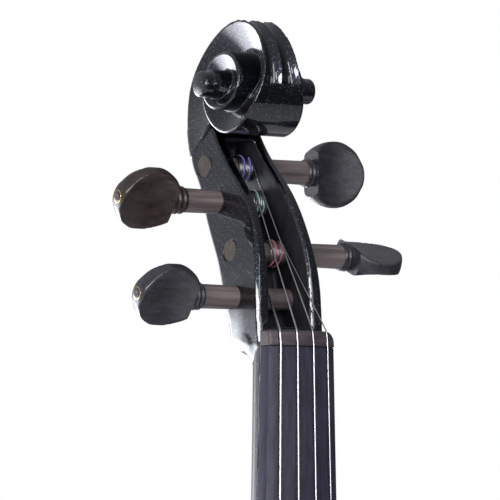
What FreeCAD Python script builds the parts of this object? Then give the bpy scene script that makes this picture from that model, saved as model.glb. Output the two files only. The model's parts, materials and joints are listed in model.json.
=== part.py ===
import FreeCAD, Part
import math
import os

# A full-size cello: hollow arched body, neck with a carved scroll, four tuning pegs, four strings over a bridge,
# a tailpiece with fine tuners, and a sliding endpin. Millimetres, +Z up. The strings face -Y, and +X is the treble side.
# The origin is on the endpin's axis, where its spike begins.

V = FreeCAD.Vector
os.makedirs("parts", exist_ok=True)

# ---- body -------------------------------------------------------------------------------------------------------
BODY_BOTTOM = 60.0
BODY_LENGTH = 755.0
RIB_HEIGHT = 115.0
RIB_THICKNESS = 2.0
EDGE_OVERHANG = 4.0
PLATE_THICKNESS = 4.5
SEATING = 0.25
ARCH_HEIGHT = 25.0
LINING_THICKNESS = 2.5
LINING_HEIGHT = 15.0
HALF_RIB = RIB_HEIGHT / 2

# Half outline of the body, bass side mirrored: distance from the centre line, height above the bottom edge.
LOWER_BOUT = [(0, 0), (60, 1.5), (120, 12), (170, 38), (205, 85), (218.5, 145), (214, 205), (198, 258), (184, 305),
              (192, 328)]
MIDDLE_BOUT = [(190, 336), (170, 337), (150, 350), (130, 372), (117, 405), (115, 430), (118, 460), (130, 485),
               (145, 498), (163, 507)]
UPPER_BOUT = [(165, 515), (158, 530), (157, 548), (163, 580), (170, 622), (168, 655), (155, 697), (128, 730),
              (90, 748), (45, 754), (0, 755)]
# Half width of the smooth arch at heights above the bottom edge, a little inside the outline.
ARCH_WIDTH = [(0, 150), (70, 190), (145, 212), (215, 204), (290, 170), (350, 132), (430, 112), (500, 130),
              (560, 152), (640, 164), (700, 146), (755, 100)]

# ---- neck, head and fingerboard, in the neck's own frame ------------------------------------------------------------
# There x is towards the treble, y is towards the back, z is up along the glue face, and 0 is the foot of the nut.
NECK_ANGLE = 9.75
NUT_FOOT = V(0, -34.6, 1091)
NUT_WIDTH = 36.7
NUT_LENGTH = 7.4
NUT_RISE = 0.9
BOARD_LENGTH = 580.0
BOARD_END_WIDTH = 62.0
BOARD_SIDE = 7.7
BOARD_RADIUS = 62.0
NECK_DEPTH = 18.8
HEEL_DEPTH = 137.5

PEGBOX_FRONT = [(1, 9), (2, 22), (3.5, 37), (5.6, 46), (9.3, 56), (14.5, 66), (21.8, 76), (30.9, 85.5), (40.3, 95.5),
                (46, 103)]
PEGBOX_BACK = [(71, 112), (69.5, 103), (67, 96), (62.5, 87), (57, 79), (49.8, 62), (44.5, 52.5), (38.9, 43), (35, 33),
               (32.4, 20), (32.2, 9), (29.8, 4), (24.6, -0.9), (17, -3.6), (9, -4.9)]
HEAD_HALF_WIDTH = [(-30, 18.35), (9, 18.7), (24, 18.8), (46, 17.9), (60, 16.9), (71, 16.4), (88, 16.2), (103, 14.8),
                   (126, 12.5), (145, 10.2), (160, 8.9)]
CAVITY_HALF_WIDTH = [(9, 11.6), (46, 10.8), (71, 9.4), (101, 8.2)]
CAVITY_BACK = [(52, 100.5), (60.6, 94), (60.4, 87), (54.5, 78), (49.8, 70), (41.5, 56), (36.4, 46), (31.4, 36),
               (29.6, 22), (25.5, 12.5), (18, 9)]

# The scroll winds round the eye; the angle runs from the back, over the top, to the front.
EYE_Y, EYE_Z = 32.9, 125.8
EYE_RADIUS = 6.2
EYE_REACH = 32.0
SPIRAL = [(-14, 41.4), (0, 39.8), (28, 35.5), (66, 33), (90, 32.7), (118, 29.9), (135, 27.7), (162, 25.1),
          (196, 23.8), (227, 23.2), (266, 23.1), (317, 19.6), (360, 19.5), (405, 18), (450, 16.2), (500, 15.6),
          (540, 14.5), (588, 12.5), (630, 11.9), (700, 9.5), (760, 8), (850, 6.6)]
# Each inner turn of the volute: first angle, last angle, half width.
VOLUTE_STEPS = [(225, 560, 17.6), (470, 800, 22.5)]

# ---- pegs: name, side (-1 bass, +1 treble), y, z, start of the collar, tip, opposite cheek, blade tilt ----------------
PEGS = [("c", -1, 22.2, 24.0, 38.0, 73.0, 18.7, -38.0),
        ("g", -1, 41.3, 70.9, 35.4, 72.0, 16.3, -38.0),
        ("d", 1, 53.0, 88.6, 41.0, 75.0, 16.1, 0.0),
        ("a", 1, 27.4, 46.3, 44.7, 78.8, 17.8, 66.0)]
PEG_RADIUS = 5.85
PEG_END_RADIUS = 5.2
PEG_CLEARANCE = 0.05
COLLAR_RADIUS = 6.65
KNOB_LENGTH = 29.0
PEG_HEAD_WIDTH = 32.5
SCOOP_RADIUS = 24.0
SCOOP_PLACE = 14.0
BLADE_THICKNESS = 6.4
END_RING_RADIUS = 3.2
END_DOT_RADIUS = 1.9

# ---- strings: name, radius, place across the nut, place across the bridge, place across the tailpiece ------------------
STRINGS = [("c", 0.62, -13.2, -24.0, -20.0), ("g", 0.50, -4.5, -8.0, -6.7), ("d", 0.42, 4.5, 8.0, 6.7),
           ("a", 0.33, 13.2, 24.0, 20.0)]
# Where along each peg its string is wound, how far from there it arrives, how wide the turns lie, and how deep they
# are in string radii.
WINDING_PLACE = {"c": -7.0, "g": 4.6, "d": 4.3, "a": 5.6}
WINDING_LANDING = {"c": 2.8, "g": -2.6, "d": 2.8, "a": 2.8}
WINDING_WIDTH = 8.0
WINDING_DEPTH = 1.9
STRING_CLEARANCE = 0.3
NUT_FALL = 0.9
BRIDGE_Z = 415.0
BRIDGE_TOP_Y = -175.0
BRIDGE_TOP_RADIUS = 62.0
BRIDGE_HALF_WIDTH = 45.0
BRIDGE_FOOT_THICKNESS = 11.0
BRIDGE_TOP_THICKNESS = 2.8

# ---- tailpiece frame: s runs up its length from the saddle, h stands away from the body --------------------------------
SADDLE_TOP = V(0, -74, 64)
TAIL_LEAN = math.degrees(math.atan2(0.2766, 0.961))
TAIL_START = 20.0
TAIL_END = 250.0
TAIL_START_WIDTH = 30.0
TAIL_END_WIDTH = 60.0
TAIL_THICKNESS = 9.0
LEVER_PIVOT_S = 234.0
LEVER_PIVOT_H = -5.0
LEVER_PIN_RADIUS = 1.5
LEVER_WIDTH = 4.0
SCREW_S = 209.0
SCREW_RADIUS = 1.7
SLOT_WIDTH = 5.0

# ---- endpin ---------------------------------------------------------------------------------------------------
ROD_RADIUS = 5.0
ROD_LENGTH = 430.0
NOSE_RADIUS = 4.0
NOSE_LENGTH = 16.0
SPIKE_LENGTH = 12.0
SOCKET_BORE = 5.05
COLLAR_BOTTOM = 38.0
COLLAR_TOP = 64.0
SOCKET_TOP = 106.0
THUMB_Z = 45.0


def save(name, shape):
    """Writes one named sub-part and prints what it holds."""
    print(f"{name:24s} solids {len(shape.Solids):2d} volume {shape.Volume:11.1f} valid {shape.isValid()}")
    shape.exportStep(f"parts/{name}.step")


def spline(points):
    """A smooth edge through the points."""
    curve = Part.BSplineCurve()
    curve.interpolate(points)
    return curve.toShape()


def largest(shape):
    """The biggest solid of a shape."""
    return max(shape.Solids, key=lambda solid: solid.Volume)


def joined(shapes):
    """One shape fused from a list."""
    result = shapes[0]
    for shape in shapes[1:]:
        result = result.fuse(shape)
    return result.removeSplitter()


def grouped(shapes):
    """Separate solids kept in one node."""
    return Part.makeCompound([solid for shape in shapes for solid in shape.Solids])


def block(low, high):
    """A box between two corners."""
    return Part.makeBox(high[0] - low[0], high[1] - low[1], high[2] - low[2], V(*low))


def prism(edges, direction):
    """A solid extruded from closed edges."""
    return Part.Face(Part.Wire(Part.__sortEdges__(edges))).extrude(direction)


def outline_prism(points, direction):
    """A solid extruded from a polygon of points."""
    return Part.Face(Part.makePolygon(points + [points[0]])).extrude(direction)


def tube(points, radius):
    """A round bar along straight runs, with a ball at each bend."""
    pieces = []
    for first, last in zip(points, points[1:]):
        pieces.append(Part.makeCylinder(radius, (last - first).Length, first, last - first))
    for corner in points[1:-1]:
        pieces.append(Part.makeSphere(radius, corner))
    return joined(pieces) if len(pieces) > 1 else pieces[0]


def between(table, place):
    """A value read from a table of (place, value) rows."""
    if place <= table[0][0]:
        return table[0][1]
    for (z0, v0), (z1, v1) in zip(table, table[1:]):
        if place <= z1:
            return v0 + (v1 - v0) * (place - z0) / (z1 - z0)
    return table[-1][1]


# The neck's frame and the tailpiece's frame, carried into the cello's own frame.
NECK = FreeCAD.Placement(NUT_FOOT, FreeCAD.Rotation(V(1, 0, 0), -NECK_ANGLE))
TAIL = FreeCAD.Placement(SADDLE_TOP, FreeCAD.Rotation(V(1, 0, 0), TAIL_LEAN))


def on_neck(shape):
    """Carries a shape from the neck's frame."""
    return shape.transformed(NECK.toMatrix(), True)


def on_tail(shape):
    """Carries a shape from the tailpiece's frame, where -Y stands away from the body."""
    return shape.transformed(TAIL.toMatrix(), True)


# ---- body -------------------------------------------------------------------------------------------------------
def body_point(point, y=0.0):
    return V(point[0], y, BODY_BOTTOM + point[1])


def mirrored(points):
    return [(-x, z) for x, z in reversed(points)]


def bout_curve(points):
    curve = Part.BSplineCurve()
    curve.interpolate([body_point(point) for point in points])
    return curve


WHOLE_LOWER = mirrored(LOWER_BOUT)[:-1] + LOWER_BOUT
WHOLE_UPPER = UPPER_BOUT + mirrored(UPPER_BOUT)[1:]
LOWER_CURVE = bout_curve(WHOLE_LOWER)
UPPER_CURVE = bout_curve(WHOLE_UPPER)
MIDDLE_CURVE = bout_curve(MIDDLE_BOUT)


def outline_edges():
    """The closed outline of a plate, seen from the front."""
    middle_bass = bout_curve(mirrored(MIDDLE_BOUT))
    edges = [curve.toShape() for curve in (LOWER_CURVE, MIDDLE_CURVE, UPPER_CURVE, middle_bass)]
    for side in (1, -1):
        edges.append(Part.makeLine(body_point((side * LOWER_BOUT[-1][0], LOWER_BOUT[-1][1])),
                                   body_point((side * MIDDLE_BOUT[0][0], MIDDLE_BOUT[0][1]))))
        edges.append(Part.makeLine(body_point((side * MIDDLE_BOUT[-1][0], MIDDLE_BOUT[-1][1])),
                                   body_point((side * UPPER_BOUT[0][0], UPPER_BOUT[0][1]))))
    return edges


def strip(curve, first, last, inset, thickness, y_low, y_high, count=18):
    """A bent strip inside a bout's curve; first and last are fractions of the curve."""
    low, high = curve.FirstParameter, curve.LastParameter
    outer, inner = [], []
    for step in range(count):
        place = low + (high - low) * (first + (last - first) * step / (count - 1))
        point = curve.value(place)
        along = curve.tangent(place)[0]
        inward = V(-along.z, 0, along.x)
        outer.append(point + inward * inset)
        inner.append(point + inward * (inset + thickness))
    lift = V(0, y_low, 0)
    outer = [point + lift for point in outer]
    inner = [point + lift for point in inner]
    edges = [spline(outer), spline(inner), Part.makeLine(outer[0], inner[0]), Part.makeLine(outer[-1], inner[-1])]
    return prism(edges, V(0, y_high - y_low, 0))


def bass_side(shape):
    return shape.mirror(V(0, 0, 0), V(1, 0, 0))


def strips(inset, thickness, y_low, y_high):
    """The lower, middle and upper strips of the treble side, trimmed where they meet at the corners."""
    lower = strip(LOWER_CURVE, 0.5, 0.997, inset, thickness, y_low, y_high)
    upper = strip(UPPER_CURVE, 0.003, 0.5, inset, thickness, y_low, y_high)
    middle = strip(MIDDLE_CURVE, 0.01, 0.99, inset, thickness, y_low, y_high)
    middle = largest(middle.cut(lower).cut(upper))
    return lower, middle, upper


def arch_face(side):
    """The arched outer surface of a plate; side is -1 for the top and +1 for the back."""
    columns, rows = 25, 45
    reach_x, margin = 225.0, 6.0
    grid = []
    for row in range(rows):
        height = -margin + (BODY_LENGTH + 2 * margin) * row / (rows - 1)
        along = min(1.0, abs(2 * height / BODY_LENGTH - 1))
        lengthwise = (1 - along ** 3.2) ** 0.9
        width = between(ARCH_WIDTH, height)
        line = []
        for column in range(columns):
            x = -reach_x + 2 * reach_x * column / (columns - 1)
            across = min(1.0, abs(x) / width)
            rise = ARCH_HEIGHT * lengthwise * (1 - across ** 2) ** 1.6
            line.append(V(x, side * (HALF_RIB + PLATE_THICKNESS - SEATING + rise), BODY_BOTTOM + height))
        grid.append(line)
    surface = Part.BSplineSurface()
    surface.approximate(Points=grid, DegMin=3, DegMax=5, Continuity=2, Tolerance=0.4)
    return surface.toShape()


def plate(side):
    """An arched plate of even thickness cut to the outline."""
    slab = arch_face(side).extrude(V(0, -side * PLATE_THICKNESS, 0))
    shift = V(0, side * HALF_RIB, 0)
    full = prism(outline_edges(), V(0, side * (ARCH_HEIGHT + PLATE_THICKNESS + 15), 0))
    full.translate(shift)
    return largest(slab.common(full))


def sound_hole():
    """One f-shaped hole of the treble side, as a tool that cuts the top."""
    upper_eye, lower_eye = (50.0, 410.0), (88.0, 310.0)
    middle = [(50, 404.5, 2.4), (57, 414, 3.2), (66, 404, 3.6), (68.5, 380, 4.0), (70.5, 355, 4.2), (73, 332, 4.0),
              (76, 312, 3.6), (84, 301, 3.2), (90, 308, 2.4)]
    left, right = [], []
    for index, (x, z, half) in enumerate(middle):
        before = middle[max(index - 1, 0)]
        after = middle[min(index + 1, len(middle) - 1)]
        along = V(after[0] - before[0], 0, after[1] - before[1]).normalize()
        across = V(-along.z, 0, along.x)
        centre = body_point((x, z), -120.0)
        left.append(centre + across * half)
        right.append(centre - across * half)
    edges = [spline(left), spline(right), Part.makeLine(left[0], right[0]), Part.makeLine(left[-1], right[-1])]
    depth = V(0, 80, 0)
    tools = [prism(edges, depth)]
    for (x, z), radius in ((upper_eye, 7.0), (lower_eye, 9.0)):
        tools.append(Part.makeCylinder(radius, depth.y, body_point((x, z), -120.0), V(0, 1, 0)))
    notch = body_point((70, 355), -120.0)
    tools.append(outline_prism([notch + V(-8, 0, 0), notch + V(0, 0, 2), notch + V(8, 0, 0), notch + V(0, 0, -2)],
                               depth))
    return joined(tools)


# ---- neck and head ----------------------------------------------------------------------------------------------
def half_round(z, half_width, depth):
    """A flat-topped half ellipse across the neck, y towards the back."""
    centre = V(0, 0, z)
    if depth > half_width:
        ellipse = Part.Ellipse(centre + V(0, depth, 0), centre + V(half_width, 0, 0), centre)
    else:
        ellipse = Part.Ellipse(centre + V(half_width, 0, 0), centre + V(0, depth, 0), centre)
    whole = Part.Face(Part.Wire([ellipse.toShape()]))
    lower = Part.makePlane(4 * half_width, 2 * depth, V(-2 * half_width, 0, z), V(0, 0, 1))
    return whole.common(lower).Faces[0].OuterWire


def polar(angle, radius):
    """A point of the scroll's side view."""
    return V(0, EYE_Y + radius * math.cos(math.radians(angle)), EYE_Z + radius * math.sin(math.radians(angle)))


def side_prism(edges, half_width):
    """A side view extruded evenly both ways."""
    solid = prism(edges, V(2 * half_width, 0, 0))
    solid.translate(V(-half_width, 0, 0))
    return solid


def spiral_turn(first, last, half_width):
    """One stretch of the volute between two angles, as wide as given."""
    inside = [angle for angle, _ in SPIRAL if first < angle < last]
    points = [polar(angle, between(SPIRAL, angle)) for angle in [first] + inside + [last]]
    return side_prism([spline(points), Part.makeLine(points[-1], points[0])], half_width)


def width_prism(table, y_low, y_high):
    """The front view of the head, from a table of half widths, extruded through it."""
    right = [V(half, y_low, z) for z, half in table]
    left = [V(-half, y_low, z) for z, half in table]
    edges = [spline(right), spline(left), Part.makeLine(right[0], left[0]), Part.makeLine(right[-1], left[-1])]
    return prism(edges, V(0, y_high - y_low, 0))


def head():
    """The pegbox block with the scroll on top, before the pegbox is hollowed."""
    front = [V(0, y, z) for y, z in PEGBOX_FRONT]
    back = [V(0, y, z) for y, z in PEGBOX_BACK]
    low_front = V(0, 0, -5)
    edges = [spline(front), Part.makeLine(front[-1], V(0, EYE_Y, EYE_Z)), Part.makeLine(V(0, EYE_Y, EYE_Z), back[0]),
             spline(back), Part.makeLine(back[-1], low_front), Part.makeLine(low_front, V(0, 0, NUT_LENGTH)),
             Part.makeLine(V(0, 0, NUT_LENGTH), front[0])]
    outer_turn = spiral_turn(SPIRAL[0][0], 317, 25)
    solid = joined([side_prism(edges, 25), outer_turn])
    solid = solid.common(width_prism(HEAD_HALF_WIDTH, -10, 90))
    turns = [spiral_turn(*step) for step in VOLUTE_STEPS]
    eye = Part.makeCylinder(EYE_RADIUS, 2 * EYE_REACH, V(-EYE_REACH, EYE_Y, EYE_Z), V(1, 0, 0))
    return joined([solid] + turns + [eye])


def cavity():
    """The slot between the cheeks, open at the front, where the strings wind on the pegs."""
    low_front, mid_front = V(0, -20, CAVITY_BACK[-1][1]), V(0, -20, 60)
    back = [V(0, y, z) for y, z in CAVITY_BACK]
    edges = [Part.makeLine(low_front, mid_front), Part.makeLine(mid_front, back[0]), spline(back),
             Part.makeLine(back[-1], low_front)]
    return side_prism(edges, 20).common(width_prism(CAVITY_HALF_WIDTH, -25, 70))


def neck_shaft():
    """The neck's rounded back, from the chin down to the heel."""
    rows = [(0, 18.35, 21.0), (-40, 19.1, NECK_DEPTH), (-120, 20.9, 20.0), (-200, 22.7, 22.5), (-282, 24.4, 24.0)]
    return Part.makeLoft([half_round(*row) for row in rows], True, False)


def heel():
    """The heel that meets the body, and the root that sits in the top block."""
    curve = [V(0, 17, -182), V(0, 26, -200), V(0, 44, -217), V(0, 78, -229), V(0, HEEL_DEPTH + 4.2, -235)]
    foot = V(0, HEEL_DEPTH + 4.2, -300)
    edges = [spline(curve), Part.makeLine(curve[-1], foot), Part.makeLine(foot, V(0, 0, -300)),
             Part.makeLine(V(0, 0, -300), V(0, 0, -182)), Part.makeLine(V(0, 0, -182), curve[0])]
    side = side_prism(edges, 40)
    deep = HEEL_DEPTH + 10
    right = [V(22.8, 0, -320), V(24.6, 30, -320), V(22, 80, -320), V(16, deep, -320)]
    left = [V(-point.x, point.y, point.z) for point in right]
    plan = prism([spline(right), spline(left), Part.makeLine(right[0], left[0]), Part.makeLine(right[-1], left[-1])],
                 V(0, 0, 200))
    return side.common(plan)


def peg_axis(peg):
    """The thin end, the direction towards the head, and the length of a peg's shaft."""
    name, side, y, z, collar, tip, cheek, tilt = peg
    return V(-side * cheek, y, z), V(side, 0, 0), collar + cheek


def peg_cone(peg, extra):
    start, direction, length = peg_axis(peg)
    return Part.makeCone(PEG_END_RADIUS + extra, PEG_RADIUS + extra, length, start, direction)


def neck_and_scroll():
    """The whole neck, carved from one piece of wood."""
    solid = joined([head(), neck_shaft(), heel()])
    solid = solid.cut(cavity())
    for peg in PEGS:
        solid = solid.cut(peg_cone(peg, PEG_CLEARANCE))
    solid = on_neck(largest(solid))
    rib_top = BODY_BOTTOM + BODY_LENGTH - EDGE_OVERHANG
    root_depth = 14.0
    below = block((-200, -300, -100), (200, 300, rib_top - root_depth))
    behind = block((-200, HALF_RIB, rib_top - 200), (200, 300, rib_top + 4.0))
    return largest(solid.cut(below).cut(behind))


def board_section(z, width, rise=0.0):
    """A section of the fingerboard: flat underneath, straight sides, arched top."""
    half = width / 2
    top = math.sqrt(BOARD_RADIUS ** 2 - half ** 2)
    crown = BOARD_SIDE + BOARD_RADIUS - top
    low_left, low_right = V(-half, 0, z), V(half, 0, z)
    high_left, high_right = V(-half, -BOARD_SIDE - rise, z), V(half, -BOARD_SIDE - rise, z)
    arch = Part.Arc(high_left, V(0, -crown - rise, z), high_right).toShape()
    return Part.Wire(Part.__sortEdges__([Part.makeLine(low_left, low_right), Part.makeLine(low_right, high_right),
                                         arch, Part.makeLine(high_left, low_left)]))


def board_top(x, width, rise=0.0):
    """How far the arched top stands in front of the glue face at a place across the board."""
    side = math.sqrt(BOARD_RADIUS ** 2 - (width / 2) ** 2)
    return BOARD_SIDE + math.sqrt(BOARD_RADIUS ** 2 - x ** 2) - side + rise


def fingerboard():
    """The long ebony board, hollowed underneath where it passes over the body."""
    sections = [board_section(-BOARD_LENGTH, BOARD_END_WIDTH), board_section(0, NUT_WIDTH)]
    solid = Part.makeLoft(sections, True, True)
    hollow = Part.makeCone(24, 16, 270, V(0, 20, -BOARD_LENGTH - 1), V(0, 0, 1))
    return on_neck(solid.cut(hollow))


def nut_block():
    """The ebony nut at the top of the board."""
    face = Part.Face(board_section(0, NUT_WIDTH, NUT_RISE))
    solid = face.extrude(V(0, 0, NUT_LENGTH))
    upper = [edge for edge in solid.Edges if edge.CenterOfMass.y < -5 and edge.CenterOfMass.z > NUT_LENGTH - 0.1]
    return on_neck(solid.makeFillet(1.6, upper))


def tangent_point(start_y, start_z, centre_y, centre_z, radius):
    """Where a line from a point touches the front of a round winding."""
    run_y, run_z = centre_y - start_y, centre_z - start_z
    distance = math.hypot(run_y, run_z)
    turn = math.atan2(run_z, run_y) + math.asin(radius / distance)
    length = math.sqrt(distance ** 2 - radius ** 2)
    return start_y + length * math.cos(turn), start_z + length * math.sin(turn)


def string_route(row):
    """A string's points: hook, tailpiece fret, bridge, nut and the top of its winding."""
    name, radius, nut_x, bridge_x, tail_x = row
    peg = next(entry for entry in PEGS if entry[0] == name)
    nut_top = board_top(nut_x, NUT_WIDTH, NUT_RISE) + 0.35 * radius
    winding_reach = PEG_RADIUS + WINDING_DEPTH * radius + radius + STRING_CLEARANCE
    leave_y, leave_z = -nut_top + NUT_FALL, NUT_LENGTH
    land_y, land_z = tangent_point(leave_y, leave_z, peg[2], peg[3], winding_reach)
    bridge_drop = BRIDGE_TOP_RADIUS - math.sqrt(BRIDGE_TOP_RADIUS ** 2 - bridge_x ** 2)
    return [TAIL.multVec(V(tail_x, -TAIL_THICKNESS - 4.2, LEVER_PIVOT_S + 5.6)),
            TAIL.multVec(V(tail_x, -TAIL_THICKNESS - 3.2 - radius, TAIL_END - 4)),
            V(bridge_x, BRIDGE_TOP_Y + bridge_drop - 0.35 * radius, BRIDGE_Z),
            NECK.multVec(V(nut_x, -nut_top, 0.6)),
            NECK.multVec(V(nut_x, leave_y, leave_z)),
            NECK.multVec(V(WINDING_PLACE[name] + WINDING_LANDING[name], land_y, land_z))]


# ---- pegs -------------------------------------------------------------------------------------------------------
def peg_head(peg):
    """The turned knob with two hollow scoops that leave a flat blade."""
    name, side, y, z, collar, tip, cheek, tilt = peg
    start = tip - KNOB_LENGTH
    half = PEG_HEAD_WIDTH / 2
    profile = [V(0, 0, half * 0.70), V(3.2, 0, half * 0.82), V(12.8, 0, half), V(19, 0, half * 0.93),
               V(24, 0, half * 0.70), V(27, 0, half * 0.46), V(KNOB_LENGTH, 0, 0)]
    edges = [Part.makeLine(V(0, 0, 0), profile[0]), spline(profile), Part.makeLine(profile[-1], V(0, 0, 0))]
    solid = Part.Face(Part.Wire(Part.__sortEdges__(edges))).revolve(V(0, 0, 0), V(1, 0, 0), 360)
    for way in (1, -1):
        centre = V(SCOOP_PLACE, way * (SCOOP_RADIUS + BLADE_THICKNESS / 2), -30)
        solid = solid.cut(Part.makeCylinder(SCOOP_RADIUS, 60, centre, V(0, 0, 1)))
    inset = KNOB_LENGTH - 2.2
    solid = solid.cut(Part.makeCylinder(END_RING_RADIUS, 10, V(inset, 0, 0), V(1, 0, 0)))
    ring = Part.makeCylinder(END_RING_RADIUS, 1.9, V(inset, 0, 0), V(1, 0, 0))
    dot = Part.makeCylinder(END_DOT_RADIUS, 2.1, V(inset, 0, 0), V(1, 0, 0))
    ring = ring.cut(dot)
    placed = []
    for shape in (largest(solid), ring, dot):
        shape = shape.copy()
        shape.rotate(V(0, 0, 0), V(1, 0, 0), tilt)
        if side < 0:
            shape.rotate(V(0, 0, 0), V(0, 0, 1), 180)
        shape.translate(V(side * start, y, z))
        placed.append(shape)
    return placed


def peg_parts(peg):
    """The peg, its end ring, its pearl dot and the turns of string wound on it."""
    name, side, y, z, collar, tip, cheek, tilt = peg
    radius = next(row[1] for row in STRINGS if row[0] == name)
    knob, ring, dot = peg_head(peg)
    collar_length = tip - KNOB_LENGTH - collar
    collar_piece = Part.makeCylinder(COLLAR_RADIUS, collar_length, V(side * collar, y, z), V(side, 0, 0))
    solid = joined([peg_cone(peg, 0.0), collar_piece, knob])
    place = WINDING_PLACE[name]
    solid = solid.cut(Part.makeCylinder(1.0, 30, V(place - 4.5 * side, y - 15, z), V(0, 1, 0)))
    width = WINDING_WIDTH
    winding = Part.makeCylinder(PEG_RADIUS + WINDING_DEPTH * radius, width, V(place - width / 2, y, z), V(1, 0, 0))
    winding = winding.cut(peg_cone(peg, 0.0))
    return on_neck(solid), on_neck(ring), on_neck(dot), on_neck(winding)


# ---- bridge -------------------------------------------------------------------------------------------------------
def bridge_blank():
    """The bridge's outline with its heart, kidneys and arch, before its feet are fitted."""
    foot_y = -70.0
    half_top = 28.0
    top_edge = BRIDGE_TOP_Y + BRIDGE_TOP_RADIUS - math.sqrt(BRIDGE_TOP_RADIUS ** 2 - half_top ** 2)
    z = BRIDGE_Z - BRIDGE_FOOT_THICKNESS / 2
    right = [V(half_top, top_edge, z), V(31, -160, z), V(27, -146, z), V(33, -136, z), V(27, -122, z),
             V(33, -108, z), V(43, -97, z), V(BRIDGE_HALF_WIDTH, -90, z), V(BRIDGE_HALF_WIDTH, foot_y, z)]
    left = [V(-point.x, point.y, point.z) for point in right]
    arch = [V(17, foot_y, z), V(18, -93, z), V(10, -104, z), V(0, -107, z), V(-10, -104, z), V(-18, -93, z),
            V(-17, foot_y, z)]
    edges = [Part.Arc(left[0], V(0, BRIDGE_TOP_Y, z), right[0]).toShape(), spline(right), spline(left), spline(arch),
             Part.makeLine(right[-1], arch[0]), Part.makeLine(left[-1], arch[-1])]
    solid = prism(edges, V(0, 0, BRIDGE_FOOT_THICKNESS))
    heart = [V(0, -146, z), V(6, -151, z), V(9, -144, z), V(4, -134, z), V(0, -128, z), V(-4, -134, z),
             V(-9, -144, z), V(-6, -151, z)]
    solid = solid.cut(outline_prism(heart, V(0, 0, BRIDGE_FOOT_THICKNESS)))
    for side in (1, -1):
        kidney = Part.Ellipse(V(side * 19, -121, z), 8.5, 5.0).toShape()
        solid = solid.cut(Part.Face(Part.Wire([kidney])).extrude(V(0, 0, BRIDGE_FOOT_THICKNESS)))
    half_foot, half_crest = BRIDGE_FOOT_THICKNESS / 2, BRIDGE_TOP_THICKNESS / 2
    wedge = [V(-60, foot_y, BRIDGE_Z - half_foot), V(-60, foot_y, BRIDGE_Z + half_foot),
             V(-60, BRIDGE_TOP_Y - 5, BRIDGE_Z - half_foot + 2 * half_crest),
             V(-60, BRIDGE_TOP_Y - 5, BRIDGE_Z - half_foot)]
    return solid.common(outline_prism(wedge, V(120, 0, 0)))


# ---- tailpiece and fine tuners ----------------------------------------------------------------------------------
def tail_section(s, width):
    """A section across the tailpiece, arched on the front."""
    half = width / 2
    side = -TAIL_THICKNESS * 0.55
    crown = -TAIL_THICKNESS - 1.5
    low_left, low_right = V(-half, 0, s), V(half, 0, s)
    high_left, high_right = V(-half, side, s), V(half, side, s)
    arch = Part.Arc(high_left, V(0, crown, s), high_right).toShape()
    return Part.Wire(Part.__sortEdges__([Part.makeLine(low_left, low_right), Part.makeLine(low_right, high_right),
                                         arch, Part.makeLine(high_left, low_left)]))


def lever(x):
    """One tuner's lever: a hook above, a pivot eye, and a long arm below that the screw pushes."""
    top = -TAIL_THICKNESS
    s, pivot = LEVER_PIVOT_S, top - LEVER_PIVOT_H
    left = x - LEVER_WIDTH / 2
    points = [V(left, top - 6.0, s + 3.6), V(left, top - 6.0, s + 1.0), V(left, pivot, s - 3.4),
              V(left, 1.2, s - 5.0), V(left, 1.2, SCREW_S - 4), V(left, 3.8, SCREW_S - 4), V(left, 3.8, s - 1),
              V(left, pivot, s + 3.4), V(left, top - 3.0, s + 3.6)]
    solid = outline_prism(points, V(LEVER_WIDTH, 0, 0))
    hole = Part.makeCylinder(LEVER_PIN_RADIUS + 0.06, 20, V(x - 10, pivot, s), V(1, 0, 0))
    return on_tail(solid.cut(hole))


def lever_pin(x):
    pivot = -TAIL_THICKNESS - LEVER_PIVOT_H
    return Part.makeCylinder(LEVER_PIN_RADIUS, SLOT_WIDTH + 4, V(x - SLOT_WIDTH / 2 - 2, pivot, LEVER_PIVOT_S),
                             V(1, 0, 0))


def tuner_screw(x):
    """One tuner's screw with a knurled head."""
    head_low = -TAIL_THICKNESS - 4.0
    shaft = Part.makeCylinder(SCREW_RADIUS, -head_low + 0.9, V(x, head_low, SCREW_S), V(0, 1, 0))
    knob = Part.makeCylinder(4.4, 6.0, V(x, head_low - 6.0, SCREW_S), V(0, 1, 0))
    for notch in range(12):
        turn = math.radians(notch * 30)
        place = V(x + 4.7 * math.cos(turn), head_low - 7, SCREW_S + 4.7 * math.sin(turn))
        knob = knob.cut(Part.makeCylinder(0.7, 8, place, V(0, 1, 0)))
    return on_tail(joined([shaft, knob]))


def tailpiece():
    """The tailpiece with a slot and a screw hole for each fine tuner and two holes for the tail cord."""
    solid = Part.makeLoft([tail_section(TAIL_START, TAIL_START_WIDTH), tail_section(TAIL_END, TAIL_END_WIDTH)],
                          True, True)
    for row in STRINGS:
        x = row[4]
        slot = block((x - SLOT_WIDTH / 2, -40, LEVER_PIVOT_S - 8), (x + SLOT_WIDTH / 2, 20, LEVER_PIVOT_S + 7))
        solid = solid.cut(slot)
        solid = solid.cut(Part.makeCylinder(SCREW_RADIUS + 0.06, 60, V(x, -40, SCREW_S), V(0, 1, 0)))
        solid = solid.cut(lever_pin(x))
    for x in (-6, 6):
        solid = solid.cut(Part.makeCylinder(2.0, 22, V(x, -3.5, TAIL_START - 1), V(0, 0, 1)))
    return on_tail(solid)


def tail_fret():
    """The raised ridge that the strings cross at the tailpiece's head."""
    half = TAIL_END_WIDTH / 2 - 3
    points = [V(-half, -TAIL_THICKNESS * 0.55, TAIL_END - 5.2), V(-half, -TAIL_THICKNESS - 3.0, TAIL_END - 5.2),
              V(-half, -TAIL_THICKNESS - 3.0, TAIL_END - 2.8), V(-half, -TAIL_THICKNESS * 0.55, TAIL_END - 2.8)]
    ridge = on_tail(outline_prism(points, V(2 * half, 0, 0)))
    return ridge


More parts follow.
